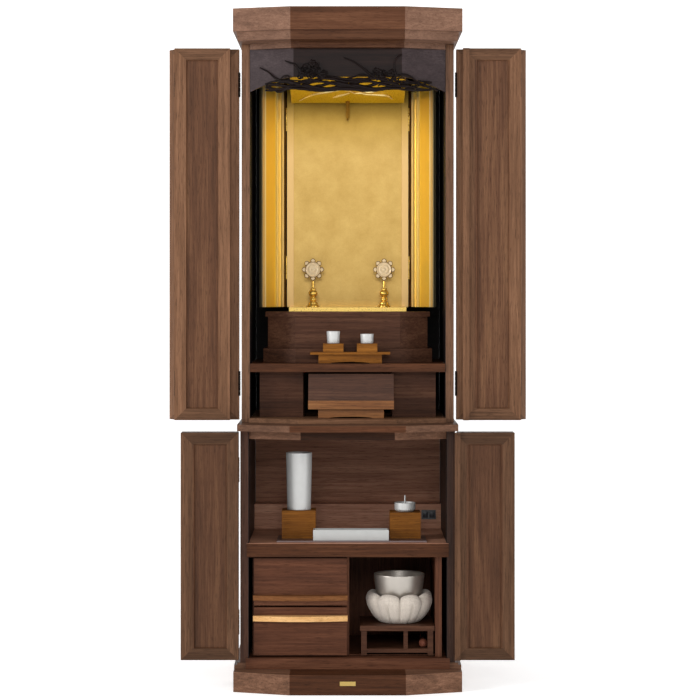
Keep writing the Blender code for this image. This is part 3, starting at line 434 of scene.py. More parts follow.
def gold_screen():
    """Gold frame round a paler leaf panel, with painted shade that darkens it towards the ceiling."""
    low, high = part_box("gold_screen")
    paint = Paint("gold_screen", GOLD_PALE, 0.36, Metallic=0.8)
    panel, speck = leaf_layers(paint, srgb(174, 140, 73), srgb(200, 166, 97), 0.22)
    spots = paint.xyz()
    inside = paint.sum("LESS_THAN", paint.sum("ABSOLUTE", spots[0]), high[0] - SCREEN_FRAME)
    tone = paint.mix(inside, (*GOLD_PALE, 1.0), panel)
    depth = paint.sum("DIVIDE", paint.sum("SUBTRACT", high[2], spots[2]), high[2] - low[2])
    shade = paint.ramp(depth, SCREEN_SHADE)
    return finish_gold(paint, paint.mix(1.0, tone, shade, "MULTIPLY"), speck, 0.4)


def gold_wing(name, side):
    """Gold wing, by distance from its pin: a dark band of painted shade by the pin, then a pale frame, deep
    orange groove and a bright outer rib.
    """
    paint = Paint(name, GOLD_PALE, 0.3, Metallic=0.75)
    spots = paint.xyz()
    across = paint.sum("SUBTRACT", paint.sum("MULTIPLY", spots[0], side), WING_PIN[0])
    deep = paint.sum("SUBTRACT", spots[1], WING_PIN[1])
    distance = paint.sum("MULTIPLY", paint.sum("SUBTRACT", across, deep), math.sqrt(0.5))
    colour = banded(paint, distance, WING_BANDS)
    speck = paint.noise((420.0, 420.0, 90.0), 2.0)
    paint.colour(paint.mix(paint.sum("MULTIPLY", speck, 0.14), colour, (*GOLD_DEEP, 1.0)))
    paint.bump(speck, 0.08, 0.0002)
    return paint.material


def side_wood(node, half, edge):
    """Side panel: walnut outside, the given tone on the front edge, and near black inside the niche, painted
    as shade.
    """
    low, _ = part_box(node)
    paint = Paint(node + "_wood", WALNUT[1], WOOD_ROUGH)
    face, pores = wood_layers(paint, "z", *WALNUT)
    front, _ = wood_layers(paint, "z", *edge)
    spots = paint.xyz()
    colour = paint.mix(paint.sum("LESS_THAN", spots[1], low[1] + FRONT_SKIN), face, front)
    # Inside the niche the walls are painted near black, as shade
    inside = paint.sum("LESS_THAN", paint.sum("ABSOLUTE", spots[0]), half)
    colour = paint.mix(inside, colour, (*SHADE_BLACK, 1.0))
    return finish_wood(paint, colour, pores, WOOD_ROUGH - 0.02, specular=0.2)


def back_wood(node, tones):
    """Back panel: towards the niche the given tones, painted as shade in the upper niche and painted paler
    as light in the lower; plain walnut behind.
    """
    low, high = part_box(node)
    middle = (low[1] + high[1]) / 2
    paint = Paint(node, tones[1], 0.52)
    inside, pores = wood_layers(paint, "x", *tones)
    behind, _ = wood_layers(paint, "z", *WALNUT_RED)
    colour = paint.mix(paint.sum("GREATER_THAN", paint.xyz()[1], middle), inside, behind)
    return finish_wood(paint, colour, pores, relief=-0.2)


def valance_wood():
    """Dark middle facet, and side facets painted greyer and paler, as lit."""
    paint = Paint("valance_wood", WALNUT_DARK[1], 0.42)
    middle, pores = wood_layers(paint, "x", *WALNUT_DARK)
    ends, _ = wood_layers(paint, "x", *VALANCE_LIT_END)
    beyond = paint.sum("GREATER_THAN", paint.sum("ABSOLUTE", paint.xyz()[0]), VALANCE_FACET)
    return finish_wood(paint, paint.mix(beyond, middle, ends), pores, relief=-0.2)


def book_wood():
    """Book rest: walnut plate, and amber strips along its ledge and foot."""
    paint = Paint("book_wood", WALNUT_DEEP[1], WOOD_ROUGH)
    plate, pores = wood_layers(paint, "x", *WALNUT_DEEP)
    strip, _ = wood_layers(paint, "x", *STRIP_BROWN)
    spots = paint.xyz()
    low = paint.sum("LESS_THAN", spots[2], BOOK_LEDGE_TOP)
    ahead = paint.sum("LESS_THAN", spots[1], BOOK_LEDGE_BACK)
    foot = paint.sum("LESS_THAN", spots[2], BOOK_FOOT_TOP)
    strips = paint.sum("MAXIMUM", paint.sum("MULTIPLY", low, ahead), foot)
    return finish_wood(paint, paint.mix(strips, plate, strip), pores, relief=-0.2, specular=0.3)


def cloth(name, light, dark):
    """Woven cloth: two crossed sets of fine ribs with uneven thread."""
    paint = Paint(name, light, 0.9, Sheen_Weight=0.25, Sheen_Roughness=0.5)
    place = paint.place()
    ribs = []
    for way in ("X", "Z"):
        wave = paint.add("ShaderNodeTexWave", bands_direction=way)
        paint.feed(wave.inputs["Vector"], place)
        wave.inputs["Scale"].default_value = 120.0
        wave.inputs["Distortion"].default_value = 2.5
        ribs.append(wave.outputs["Fac"])
    weave = paint.sum("MULTIPLY", ribs[0], ribs[1])
    fuzz = paint.noise(700.0, 2.0)
    height = paint.sum("ADD", weave, paint.sum("MULTIPLY", fuzz, 0.6))
    paint.colour(paint.ramp(height, ((0.05, dark), (0.6, light))))
    paint.bump(height, 0.8, 0.0009)
    return paint.material


def plastic(name, colour, roughness):
    paint = Paint(name, colour, roughness)
    grain = paint.noise(1500.0, 2.0)
    shade = tuple(value * 1.5 for value in colour)
    paint.colour(paint.mix(grain, (*colour, 1.0), (*shade, 1.0)))
    paint.bump(grain, 0.1, 0.0001)
    return paint.material


def crystal(name):
    paint = Paint(name, srgb(255, 228, 182), 0.06, Transmission_Weight=0.3, IOR=1.5)
    paint.gloss(paint.noise(260.0, 3.0), 0.25, 0.0)
    return paint.material


MATERIALS = {
    "walnut_x": wood("walnut_x", "x", *WALNUT_RED),
    "deep_x": wood("deep_x", "x", *WALNUT_DEEP),
    # Faceted boards: the middles are painted darker as shade, and the ends, tops and backs paler as light
    "cornice_wood": faceted_wood(
        "cornice_wood", CORNICE_FACET, CORNICE_FRONT, CORNICE_LIT_ENDS, top_of("cornice"), CORNICE_SHADE_BELOW
    ),
    "slab_wood": faceted_wood("slab_wood", SLAB_FACET, WALNUT_FRONT, WALNUT_LIT_ENDS, top_of("waist_slab")),
    # The plinth's middle is painted darker still, as the shadow the unit above casts on it, and its ends
    # lighter, as lit
    "plinth_wood": faceted_wood(
        "plinth_wood", SLAB_FACET, toned(WALNUT_FRONT, 0.85), toned(WALNUT_LIT_ENDS, 1.3), PLINTH_TOP
    ),
    "floor_wood": wood("floor_wood", "x", *WALNUT),
    # The table board's top is painted pale, as the light on the niche floor
    "table_wood": faceted_wood("table_wood", 1.0, WALNUT_FRONT, LEDGE_LIT, top_of("table_board")),
    # The header's middle is painted far darker as shade, and its ends lighter as lit
    "header_wood": faceted_wood(
        "header_wood", HEADER_FACET, toned(WALNUT_FRONT, 0.5), toned(WALNUT_LIT_ENDS, 1.4)
    ),
    "shelf_wood": wood("shelf_wood", "x", *WALNUT_FRONT),
    # The power ledge is painted paler, as light
    "ledge_lit": wood("ledge_lit", "x", *LEDGE_LIT),
    "valance_wood": valance_wood(),
    "book_wood": book_wood(),
    "gold_screen": gold_screen(),
    "gold_floor": gold_leaf("gold_floor", srgb(252, 214, 122), srgb(240, 200, 106), 0.3, 0.4),
    "wing_left": gold_wing("wing_left", -1),
    "wing_right": gold_wing("wing_right", 1),
    "amber_x": wood("amber_x", "x", *AMBER),
    "maple": wood("maple", "x", *MAPLE),
    "brown_pull": wood("brown_pull", "x", *BROWN_PULL),
    "gold_ceiling": gold_leaf("gold_ceiling", srgb(236, 190, 10), srgb(212, 160, 5), 0.3, 0.3, 0.3),
    "gold_dark": gold_leaf("gold_dark", srgb(168, 124, 40), srgb(132, 92, 24), 0.36, 0.3),
    "gold_pale": gold_leaf("gold_pale", srgb(255, 236, 170), srgb(250, 216, 130), 0.3, 0.3, 0.5),
    "gold_trim": gold_leaf("gold_trim", srgb(246, 204, 104), srgb(226, 178, 74), 0.28, 0.3),
    "brass": metal("brass", srgb(205, 175, 105), 0.35),
    "silver": metal("silver", srgb(212, 212, 210), 0.48, "z", 0.16, 0.4),
    "burner": metal("burner", srgb(196, 197, 195), 0.5, "x", 0.1, 0.6),
    "tray_edge": metal("tray_edge", srgb(150, 135, 135), 0.4),
    "bronze": metal("bronze", srgb(30, 26, 24), 0.45),
    "bowl": metal("bowl", srgb(200, 193, 184), 0.42, "x", 0.12, 0.8),
    "branch": wood("branch", "x", srgb(12, 6, 5), srgb(23, 13, 11), srgb(42, 27, 24), 0.42),
    "socket": plastic("socket", srgb(38, 40, 46), 0.4),
    "shade_black": plastic("shade_black", SHADE_BLACK, 0.6),
    "cloth": cloth("cloth", srgb(232, 221, 208), srgb(148, 132, 116)),
    "black": plastic("black", srgb(24, 24, 25), 0.45),
    "crystal": crystal("crystal"),
    # Dark amber rims of the blossoms' petals: painted shade
    "petal_shade_rim": gold_leaf("petal_shade_rim", srgb(120, 84, 34), srgb(92, 62, 24), 0.3, 0.3),
    "striker": wood("striker", "y", srgb(84, 44, 32), srgb(112, 64, 48), srgb(138, 86, 66)),
    "chest_wood": wood("chest_wood", "z", *WALNUT_RED),
    "upper_back": back_wood("upper_back", NICHE_SHADE_TONES),
    "lower_back": back_wood("lower_back", BACK_LIT),
}

NODE_MATERIALS = {
    "walnut_x": "lower_floor drawer_upper drawer_lower",
    "floor_wood": "upper_floor",
    "cornice_wood": "cornice",
    "slab_wood": "waist_slab",
    "plinth_wood": "plinth",
    "table_wood": "table_board",
    "header_wood": "lower_header",
    "shelf_wood": "altar_shelf",
    "deep_x": "pedestal step_box_left step_box_right bell_stand",
    "ledge_lit": "power_ledge",
    "valance_wood": "valance",
    "book_wood": "book_rest",
    "chest_wood": "chest",
    "branch": "branch_carving",
    "upper_back": "upper_back",
    "lower_back": "lower_back",
    "amber_x": "offering_stand cup_block_rice cup_block_tea vase_block candle_block",
    "gold_ceiling": "gold_ceiling",
    "maple": "drawer_pull_lower",
    "brown_pull": "drawer_pull_upper",
    "gold_screen": "gold_screen",
    "gold_floor": "gold_ledge",
    "wing_left": "gold_wing_left",
    "wing_right": "gold_wing_right",
    "brass": "name_plate",
    "tray_edge": "altar_tray",
    "silver": "candle_cup flower_stand_left flower_stand_right rice_cup tea_cup vase bell_bowl",
    "burner": "incense_burner",
    "crystal": "flower_blossom_left flower_blossom_right",
    "cloth": "bell_cushion",
    "black": "power_outlet",
    "striker": "striker",
}

EDGE_ROUND = 0.0008
EDGED = ("door", "lower", "upper", "waist", "plinth", "cornice", "table", "altar", "pedestal", "drawer")


def dress(node, material):
    """A CAD node gets its finish, and the case, doors and drawers a hair-thin round on their edges."""
    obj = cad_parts[node]
    obj.data.materials.clear()
    obj.data.materials.append(material)
    if node.startswith(EDGED):
        bevel = obj.modifiers.new("edge_round", "BEVEL")
        bevel.width = EDGE_ROUND
        bevel.segments = 2
        bevel.limit_method = "ANGLE"
        bevel.angle_limit = math.radians(30.0)


def dress_nodes():
    for key, names in NODE_MATERIALS.items():
        for node in names.split():
            dress(node, MATERIALS[key])
    for tier in TIERS:
        for _, label in SIDES:
            for leaf in ("inner", "outer"):
                node = "door_%s_%s_%s" % (tier, label, leaf)
                # The lower tier's leaves take painted shade through their share
                dress(node, framed_wood(node, LEAF_SHADE_SHARES[tier]))
        for sign, label in SIDES:
            node = "%s_side_%s" % (tier, label)
            # Lower tier: front edges painted in the deep walnut on the left and half of it on the right, as
            # painted shade; the right edge lies in the shadow of the opened door
            edge = WALNUT if tier == "upper" else toned(WALNUT_DEEP, 0.75 - 0.25 * sign)
            dress(node, side_wood(node, NICHE_HALF[tier] + EDGE_ROUND, edge))


# Pieces are drawn in millimetres and become metres in finish_piece


def finish_piece(name, bm, material, body="root", node=None, sharp=40.0):
    """A piece of the scene that rides on a body and may stand for a CAD node."""
    bm.transform(Matrix.Scale(MM, 4))
    bmesh.ops.recalc_face_normals(bm, faces=bm.faces)
    mesh = bpy.data.meshes.new(name)
    bm.to_mesh(mesh)
    bm.free()
    piece = bpy.data.objects.new(name, mesh)
    bpy.context.scene.collection.objects.link(piece)
    mesh.materials.append(material)
    mesh.shade_smooth()
    mesh.set_sharp_from_angle(angle=math.radians(sharp))
    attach(piece, body)
    if node:
        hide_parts(node)
    return piece


def join_rings(bm, rings, sides):
    """Faces between each ring of points and the next; a ring of one point closes an end."""
    for low, high in zip(rings, rings[1:]):
        for i in range(sides):
            j = (i + 1) % sides
            corners = [low[i % len(low)], low[j % len(low)], high[j % len(high)], high[i % len(high)]]
            bm.faces.new(list(dict.fromkeys(corners)))


def lathe(bm, profile, centre, sides=64, axis="z"):
    """Turns a profile of (radius, height) points about a line through the centre."""
    rows = []
    for radius, height in profile:
        ring = []
        for i in range(sides if radius > 0.0 else 1):
            angle = 2.0 * math.pi * i / sides
            across, other = radius * math.cos(angle), radius * math.sin(angle)
            spot = (across, height, other) if axis == "y" else (across, other, height)
            ring.append(bm.verts.new(Vector(centre) + Vector(spot)))
        rows.append(ring)
    join_rings(bm, rows, sides)


def eased(profile, size, steps=4):
    """The profile with each corner drawn as a small curve."""
    out = [profile[0]]
    for before, corner, after in zip(profile, profile[1:], profile[2:]):
        a, b, c = Vector(before), Vector(corner), Vector(after)
        start = b.lerp(a, min(size / (a - b).length, 0.45))
        end = b.lerp(c, min(size / (c - b).length, 0.45))
        for i in range(steps + 1):
            share = i / steps
            out.append(tuple(start.lerp(b, share).lerp(b.lerp(end, share), share)))
    return out + [profile[-1]]


def hollow(outer, wall):
    """An outer profile and the same drawn back inside it at the wall's thickness."""
    top = outer[-1][1]
    inner = [(max(r - wall, 0.0), z if z == top else z + wall) for r, z in reversed(outer)]
    return outer + inner


def smooth_line(points, steps=6):
    """A Catmull-Rom curve through the points."""
    spots = [Vector(point) for point in points]
    ends = [spots[0] * 2 - spots[1]] + spots + [spots[-1] * 2 - spots[-2]]
    line = []
    for a, b, c, d in zip(ends, ends[1:], ends[2:], ends[3:]):
        for i in range(steps):
            t = i / steps
            bend = (2 * a - 5 * b + 4 * c - d) * t**2
            line.append(0.5 * (2 * b + (c - a) * t + bend + (3 * b - a - 3 * c + d) * t**3))
    return line + [spots[-1]]


def tube(bm, line, radii, sides=8, closed=False):
    """A round rod along a line; radii gives the radius at each point."""
    rings = []
    count = len(line)
    for i, spot in enumerate(line):
        before = line[(i - 1) % count] if closed else line[max(i - 1, 0)]
        after = line[(i + 1) % count] if closed else line[min(i + 1, count - 1)]
        ahead = (after - before).normalized()
        lift = Vector((0.0, 1.0, 0.0)) if abs(ahead.y) < 0.9 else Vector((1.0, 0.0, 0.0))
        side = ahead.cross(lift).normalized()
        lift = side.cross(ahead)
        ring = []
        for k in range(sides):
            angle = 2.0 * math.pi * k / sides
            ring.append(bm.verts.new(spot + (side * math.cos(angle) + lift * math.sin(angle)) * radii[i]))
        rings.append(ring)
    join_rings(bm, rings + rings[:1] if closed else rings, sides)
    if not closed:
        bm.faces.new(rings[0][::-1])
        bm.faces.new(rings[-1])


def tapering(count, start, middle, end):
    """Radii along a shoot that is thickest in the middle."""
    radii = []
    for i in range(count):
        share = i / (count - 1) * 2
        rising = share < 1.0
        radii.append(start + (middle - start) * share if rising else middle + (end - middle) * (share - 1.0))
    return radii


def plate(bm, xs, ys, zs, ease=0.4):
    """A block with eased edges."""
    spots = [bm.verts.new((x, y, z)) for x in xs for y in ys for z in zs]
    faces = [(0, 1, 3, 2), (4, 6, 7, 5), (0, 4, 5, 1), (2, 3, 7, 6), (0, 2, 6, 4), (1, 5, 7, 3)]
    made = [bm.faces.new([spots[i] for i in face]) for face in faces]
    edges = list({edge for face in made for edge in face.edges})
    bmesh.ops.bevel(bm, geom=edges, offset=ease, segments=2, profile=0.5, affect="EDGES")


def centre_of(node):
    """The middle of a CAD node across and in depth, and its lowest height, in millimetres."""
    low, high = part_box(node)
    return Vector(((low[0] + high[0]) / 2, (low[1] + high[1]) / 2, low[2])) / MM


# Turned fittings, as radius and height: the flower stand has a foot, a neck, a flattened ball and a stem
BALL = [(9.3 * math.sin(math.pi * i / 16), 28.6 - 7.8 * math.cos(math.pi * i / 16)) for i in range(3, 14)]
FLOWER_STAND = [(0.0, 0.0), (12.5, 0.0), (12.5, 2.6), (9.4, 6.0), (8.6, 10.0)]
FLOWER_STAND += [(5.2, 11.6), (5.2, 13.0), (6.8, 14.5), (6.8, 17.5), (4.4, 20.4)] + BALL
FLOWER_STAND += [(5.4, 37.0), (5.4, 38.2), (2.2, 39.6), (2.2, 54.2), (0.0, 54.2)]
CANDLE_CUP = [(0.0, 0.0), (17.0, 0.0), (21.0, 4.0), (21.0, 18.0), (18.6, 18.0), (18.6, 6.0), (4.0, 6.0)]
CANDLE_CUP += [(2.0, 12.0), (1.2, 32.0), (0.0, 33.0)]
TEA_CUP = [(0.0, 0.0), (12.0, 0.0), (13.6, 24.4)]
RICE_CUP = [(0.0, 0.0), (12.4, 0.0), (13.4, 19.0)]
VASE = [(0.0, 0.0), (23.8, 0.0), (26.3, 115.0)]
BOWL = [(0.0, 0.0), (22.0, 0.4), (33.0, 6.0), (41.0, 16.0), (46.5, 32.0), (49.5, 50.0), (51.5, 68.0)]
# Node, outer profile, wall (0 for solid), ease, finish and slot
TURNED = (
    ("flower_stand_left", FLOWER_STAND, 0.0, 0.8, "gold_trim", "brass"),
    ("flower_stand_right", FLOWER_STAND, 0.0, 0.8, "gold_trim", "brass"),
    ("candle_cup", CANDLE_CUP, 0.0, 0.9, "silver", "satin_silver"),
    ("tea_cup", TEA_CUP, 2.2, 0.8, "silver", "satin_silver"),
    ("rice_cup", RICE_CUP, 2.2, 0.8, "silver", "satin_silver"),
    ("vase", VASE, 2.6, 0.9, "silver", "satin_silver"),
    ("bell_bowl", BOWL, 2.4, 3.0, "bowl", "satin_silver"),
)


def make_turned():
    for node, outer, wall, ease, finish, slot in TURNED:
        bm = bmesh.new()
        profile = hollow(outer, wall) if wall else outer
        lathe(bm, eased(profile, ease), centre_of(node))
        finish_piece(node + "_turned", bm, MATERIALS[finish], node=node)


# Blossoms: a disc cut in facets with a bead, eight small pointed petals, and dark rims that are painted
# shade along the outlines
PETALS = 8
PETAL_ROOT = 15.4
PETAL_TIP = 22.4
PETAL_HALF = 4.6
PETAL_POINTS = 24
PETAL_FILL = 0.84
PETAL_THICK = 2.4
RIM_RADIUS = 0.55
HOOP_POINTS = 48
BEAD = [(0.0, -2.9), (2.6, -2.5), (4.2, -1.0), (4.2, 1.0), (2.6, 2.5), (0.0, 2.9)]
# Radius and how far each ring of the disc stands out, from the middle to the edge
CUT_RINGS = ((4.2, 1.6), (7.6, 2.8), (11.4, 1.0), (14.2, 2.4), (16.0, 0.0))
CUT_SIDES = 16


def petal_line(centre, turn, grow=1.0):
    """The outline of one pointed petal that faces the front."""
    out = Vector((math.sin(turn), 0.0, math.cos(turn)))
    across = Vector((math.cos(turn), 0.0, -math.sin(turn)))
    middle = (PETAL_ROOT + PETAL_TIP) / 2
    line = []
    for i in range(PETAL_POINTS):
        angle = 2.0 * math.pi * i / PETAL_POINTS
        reach = (PETAL_TIP - PETAL_ROOT) / 2 * grow * math.cos(angle)
        half = PETAL_HALF * grow * math.sin(angle) * (1.0 - 0.45 * math.cos(angle))
        line.append(centre + out * (middle + reach) + across * half)
    return line


def cut_disc(bm, centre):
    """A crystal disc cut in facets front and back: each ring of points is turned half a step."""
    step = 2.0 * math.pi / CUT_SIDES
    edge = None
    for side in (-1.0, 1.0):
        before = None
        for index, (radius, proud) in enumerate(CUT_RINGS):
            at_edge = index == len(CUT_RINGS) - 1
            ring = edge if at_edge else None
            if ring is None:
                ring = []
                for k in range(CUT_SIDES):
                    angle = (k + 0.5 * (index % 2)) * step
                    spot = (radius * math.sin(angle), side * proud, radius * math.cos(angle))
                    ring.append(bm.verts.new(centre + Vector(spot)))
            if at_edge:
                edge = ring
            if before is None:
                bm.faces.new(ring)
            else:
                for k in range(CUT_SIDES):
                    j = (k + 1) % CUT_SIDES
                    if index % 2:
                        bm.faces.new((before[k], before[j], ring[k]))
                        bm.faces.new((ring[k], before[j], ring[j]))
                    else:
                        bm.faces.new((before[k], ring[j], ring[k]))
                        bm.faces.new((before[k], before[j], ring[j]))
            before = ring


def make_blossoms():
    for _, label in SIDES:
        node = "flower_blossom_" + label
        low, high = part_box(node)
        centre = (Vector(low) + Vector(high)) / 2 / MM
        bm = bmesh.new()
        cut_disc(bm, centre)
        lathe(bm, eased(BEAD, 1.0), centre, 32, "y")
        shade_rims = bmesh.new()
        turns = [2.0 * math.pi * i / HOOP_POINTS for i in range(HOOP_POINTS)]
        hoop = [centre + Vector((math.sin(turn), 0.0, math.cos(turn))) * CUT_RINGS[-1][0] for turn in turns]
        tube(shade_rims, hoop, [RIM_RADIUS] * len(hoop), 8, closed=True)
        for k in range(PETALS):
            turn = 2.0 * math.pi * k / PETALS
            tube(shade_rims, petal_line(centre, turn), [RIM_RADIUS] * PETAL_POINTS, 8, closed=True)
            rows = []
            for y in (-PETAL_THICK / 2, PETAL_THICK / 2):
                lift = Vector((0.0, y, 0.0))
                rows.append([bm.verts.new(spot + lift) for spot in petal_line(centre, turn, PETAL_FILL)])
            join_rings(bm, rows, PETAL_POINTS)
            bm.faces.new(rows[0])
            bm.faces.new(rows[1][::-1])
        finish_piece(node + "_petals", bm, MATERIALS["crystal"], node=node, sharp=14.0)
        finish_piece(node + "_rims", shade_rims, MATERIALS["petal_shade_rim"])


# Lotus cushion: eight padded petals with a dart up the middle of each
CUSHION_PETALS = 8
PETAL_STEPS = 20
SEAM_PULL = 0.13
SEAM_DIP = 11.0
DART_PULL = 0.085
DART_WIDTH = 0.03
DART_TOP = 44.0
DART_FADE = 12.0
PUFF_FROM = 30.0
LUMP_OUT = 0.9
LUMP_UP = 0.6
# Radius and height round one section, from the middle of the underside to the middle of the seat
PETAL_PROFILE = (
    (0.0, 0.0),
    (36.0, 0.0),
    (44.5, 3.0),
    (55.0, 13.0),
    (63.0, 25.0),
    (68.3, 37.0),
    (69.5, 46.0),
    (67.6, 53.5),
    (63.4, 58.6),
    (58.0, 60.4),
    (52.5, 58.2),
    (48.8, 52.0),
    (45.5, 42.0),
    (39.0, 33.5),
    (28.0, 28.0),
    (14.0, 26.4),
    (0.0, 26.0),
)


def make_cushion():
    """A closed form: its radius and height dip at the seams between petals and along each dart."""
    node = "bell_cushion"
    centre = centre_of(node)
    line = smooth_line([(r, z, 0.0) for r, z in PETAL_PROFILE], 4)
    last = len(line) - 1
    steps = PETAL_STEPS * CUSHION_PETALS
    bm = bmesh.new()
    rows = []
    for index, spot in enumerate(line):
        radius, height = max(spot.x, 0.0), spot.y
        if index in (0, last):
            rows.append([bm.verts.new(centre + Vector((0.0, 0.0, height)))])
            continue
        outer = min(max((radius - PUFF_FROM) / PUFF_FROM, 0.0), 1.0)
        crest = min(max((height - PUFF_FROM) / PUFF_FROM, 0.0), 1.0)
        dart_depth = DART_PULL * min(max((DART_TOP - height) / DART_FADE, 0.0), 1.0)
        ring = []
        for i in range(steps):
            angle = 2.0 * math.pi * i / steps
            share = (angle + math.pi / 2) * CUSHION_PETALS / (2.0 * math.pi) % 1.0
            arch = math.sin(math.pi * share) ** 0.45
            dart = math.exp(-(((share - 0.5) / DART_WIDTH) ** 2))
            pull = outer * SEAM_PULL * (1.0 - arch) + dart_depth * dart
            out = Vector((math.cos(angle), math.sin(angle), 0.0))
            lump = noise.noise(Vector((out.x * 2.2, out.y * 2.2, height / 24.0)))
            reach = radius * (1.0 - pull) + lump * LUMP_OUT * outer
            rise = height - crest * SEAM_DIP * (1.0 - arch) + lump * LUMP_UP * crest
            ring.append(bm.verts.new(centre + out * reach + Vector((0.0, 0.0, rise))))
        rows.append(ring)
    join_rings(bm, rows, steps)
    cushion = finish_piece("lotus_cushion", bm, MATERIALS["cloth"], node=node, sharp=180.0)


# Branch: x and drop below the header's underside, in millimetres, on the face of the valance
HEADER_Z = 1275.5
VALANCE_FACET_X = 108.0
VALANCE_FRONT_Y = -130.0
VALANCE_SLOPE = 32.0 / 87.7
BRANCH_PROUD = 5.0
TWIGS = (
    (((-176, 37), (-158, 47), (-146, 58), (-128, 66), (-108, 72)), 1.3, 2.6),
    (((-125, 25), (-116, 29), (-104, 33), (-96, 44), (-90, 60)), 1.4, 2.2),
    (((-8, 19), (10, 26), (28, 38), (44, 51), (60, 64)), 0.9, 2.4),
    (((108, 13), (100, 17), (94, 27), (93, 42), (98, 58)), 1.3, 2.4),
    (((88, 66), (98, 56), (112, 53), (126, 57), (140, 68), (158, 75), (180, 83)), 2.0, 2.2),
    (((-134, 62), (-128, 56), (-119, 55), (-116, 62), (-122, 68)), 1.4, 1.6),
    (((-62, 58), (-40, 62), (-14, 63), (12, 58), (30, 53), (48, 60)), 1.2, 1.9),
    (((-160, 73), (-146, 82), (-138, 87), (-124, 83), (-112, 74)), 1.6, 2.0),
    (((-84, 64), (-58, 56), (-30, 57), (2, 66), (24, 68)), 1.2, 1.8),
    (((60, 76), (78, 68), (96, 62), (110, 60), (122, 66)), 1.4, 1.7),
)
# Long stems cross one another: phase, height of the middle line at both ends and between, swing, radius
STEMS = (
    (0.0, 78.0, 78.0, 3.4, 4.0),
    (2.1, 72.0, 74.0, 4.4, 3.6),
    (4.2, 75.0, 70.0, 4.2, 3.3),
    (1.0, 82.0, 83.0, 1.8, 3.8),
    (3.3, 70.0, 64.0, 3.4, 3.0),
    (5.4, 74.0, 66.0, 4.6, 2.4),
    (0.6, 80.0, 80.0, 3.0, 2.8),
    (2.8, 68.0, 61.0, 2.4, 2.2),
)
STEM_ENDS = (-164.0, 168.0)
STEM_WAVES = 3.4
STEM_POINTS = 61
# Places of the blossoms and curled leaves on the left and the right
TUFTS = (
    ((-84, 42), (-70, 30), (-58, 42), (-50, 54), (-70, 56), (-92, 52), (-78, 48)),
    ((52, 56), (62, 48), (74, 50), (86, 50), (92, 60), (68, 60)),
)
CURLS = 5
CURL_SIZE = 7.5
CURL_POINTS = 12
CURL_TURN = 4.2
BRANCH_BLOSSOM = 6.5


def on_valance(x, drop, proud=BRANCH_PROUD):
    """A point in front of the valance face."""
    beyond = max(abs(x) - VALANCE_FACET_X, 0.0)
    return Vector((x, VALANCE_FRONT_Y + beyond * VALANCE_SLOPE - proud, HEADER_Z - drop))


def add_curl(bm, place, turn, size, chance):
    """A curled leaf: a thin strip that winds back on itself."""
    line = []
    for i in range(CURL_POINTS):
        share = i / (CURL_POINTS - 1)
        angle = turn + CURL_TURN * share
        reach = size * (1.0 - 0.55 * share)
        x = place[0] + reach * math.cos(angle)
        drop = place[1] + reach * math.sin(angle)
        line.append(on_valance(x, drop, BRANCH_PROUD + 1.5 * math.sin(angle + chance)))
    tube(bm, line, tapering(CURL_POINTS, 0.5, 1.5, 0.5), 6)


def add_blossom(bm, place, size, turn):
    """Five rounded petals about a small middle."""
    centre = on_valance(place[0], place[1], BRANCH_PROUD + 1.0)
    for k in range(6):
        angle = turn + 2.0 * math.pi * k / 5
        reach = 0.0 if k == 5 else size * 0.62
        spot = centre + Vector((reach * math.cos(angle), 0.6 if k < 5 else -1.0, reach * math.sin(angle)))
        scale = (0.26 if k == 5 else 0.5) * size
        made = bmesh.ops.create_icosphere(bm, subdivisions=2, radius=1.0)["verts"]
        for vert in made:
            vert.co = spot + Vector((vert.co.x * scale, vert.co.y * scale * 0.55, vert.co.z * scale))


def make_branch():
    chance = random.Random(7)
    bm = bmesh.new()
    for phase, ends, middle, swing, radius in STEMS:
        line = []
        for i in range(STEM_POINTS):
            share = i / (STEM_POINTS - 1)
            x = STEM_ENDS[0] + (STEM_ENDS[1] - STEM_ENDS[0]) * share
            wave = 2.0 * math.pi * STEM_WAVES * share + phase
            drop = ends + (middle - ends) * math.sin(math.pi * share)
            drop += swing * math.sin(wave) + chance.uniform(-0.6, 0.6)
            line.append(on_valance(x, drop, BRANCH_PROUD + 2.0 * math.cos(wave)))
        radii = tapering(STEM_POINTS, radius * 0.5, radius, radius * 0.45)
        tube(bm, line, [value * (0.9 + 0.2 * chance.random()) for value in radii], 8)
    for points, start, end in TWIGS:
        line = smooth_line([on_valance(x, drop) for x, drop in points], 5)
        radii = [start + (end - start) * i / (len(line) - 1) for i in range(len(line))]
        tube(bm, line, radii, 8)
    for tuft in TUFTS:
        for index, place in enumerate(tuft):
            if index % 2:
                add_blossom(bm, place, BRANCH_BLOSSOM, chance.uniform(0.0, 6.0))
            for _ in range(CURLS):
                near = (place[0] + chance.uniform(-6.0, 6.0), place[1] + chance.uniform(-5.0, 5.0))
                turn = chance.uniform(0.0, 6.3)
                size = chance.uniform(0.7, 1.1) * CURL_SIZE
                add_curl(bm, near, turn, size, chance.uniform(0.0, 6.0))
    finish_piece("branch_relief", bm, MATERIALS["branch"], node="branch_carving", sharp=60.0)


# Hinges and hook, in millimetres: each tier's pins as x, y and the heights of its hinges
HINGE_H = 50.0
HINGE_R = 2.3
KNUCKLES = 5
DOOR_PINS = {"upper": (217.5, -94.0, (606.5, 1206.0)), "lower": (217.5, -135.0, (134.0, 437.0))}
FOLD_PINS = {"upper": (347.0, -94.5), "lower": (328.4, -135.5)}
WING_HINGES = (840.0, 1148.0)
WING_HINGE_H = 48.0
WING_HINGE_PIN = (132.0, 62.2)
HOOK_LINE = ((44.0, 1186.0), (44.0, 1160.0), (43.0, 1150.0), (38.5, 1145.5), (34.0, 1149.0), (33.4, 1154.0))
HOOK_RADIUS = 1.5


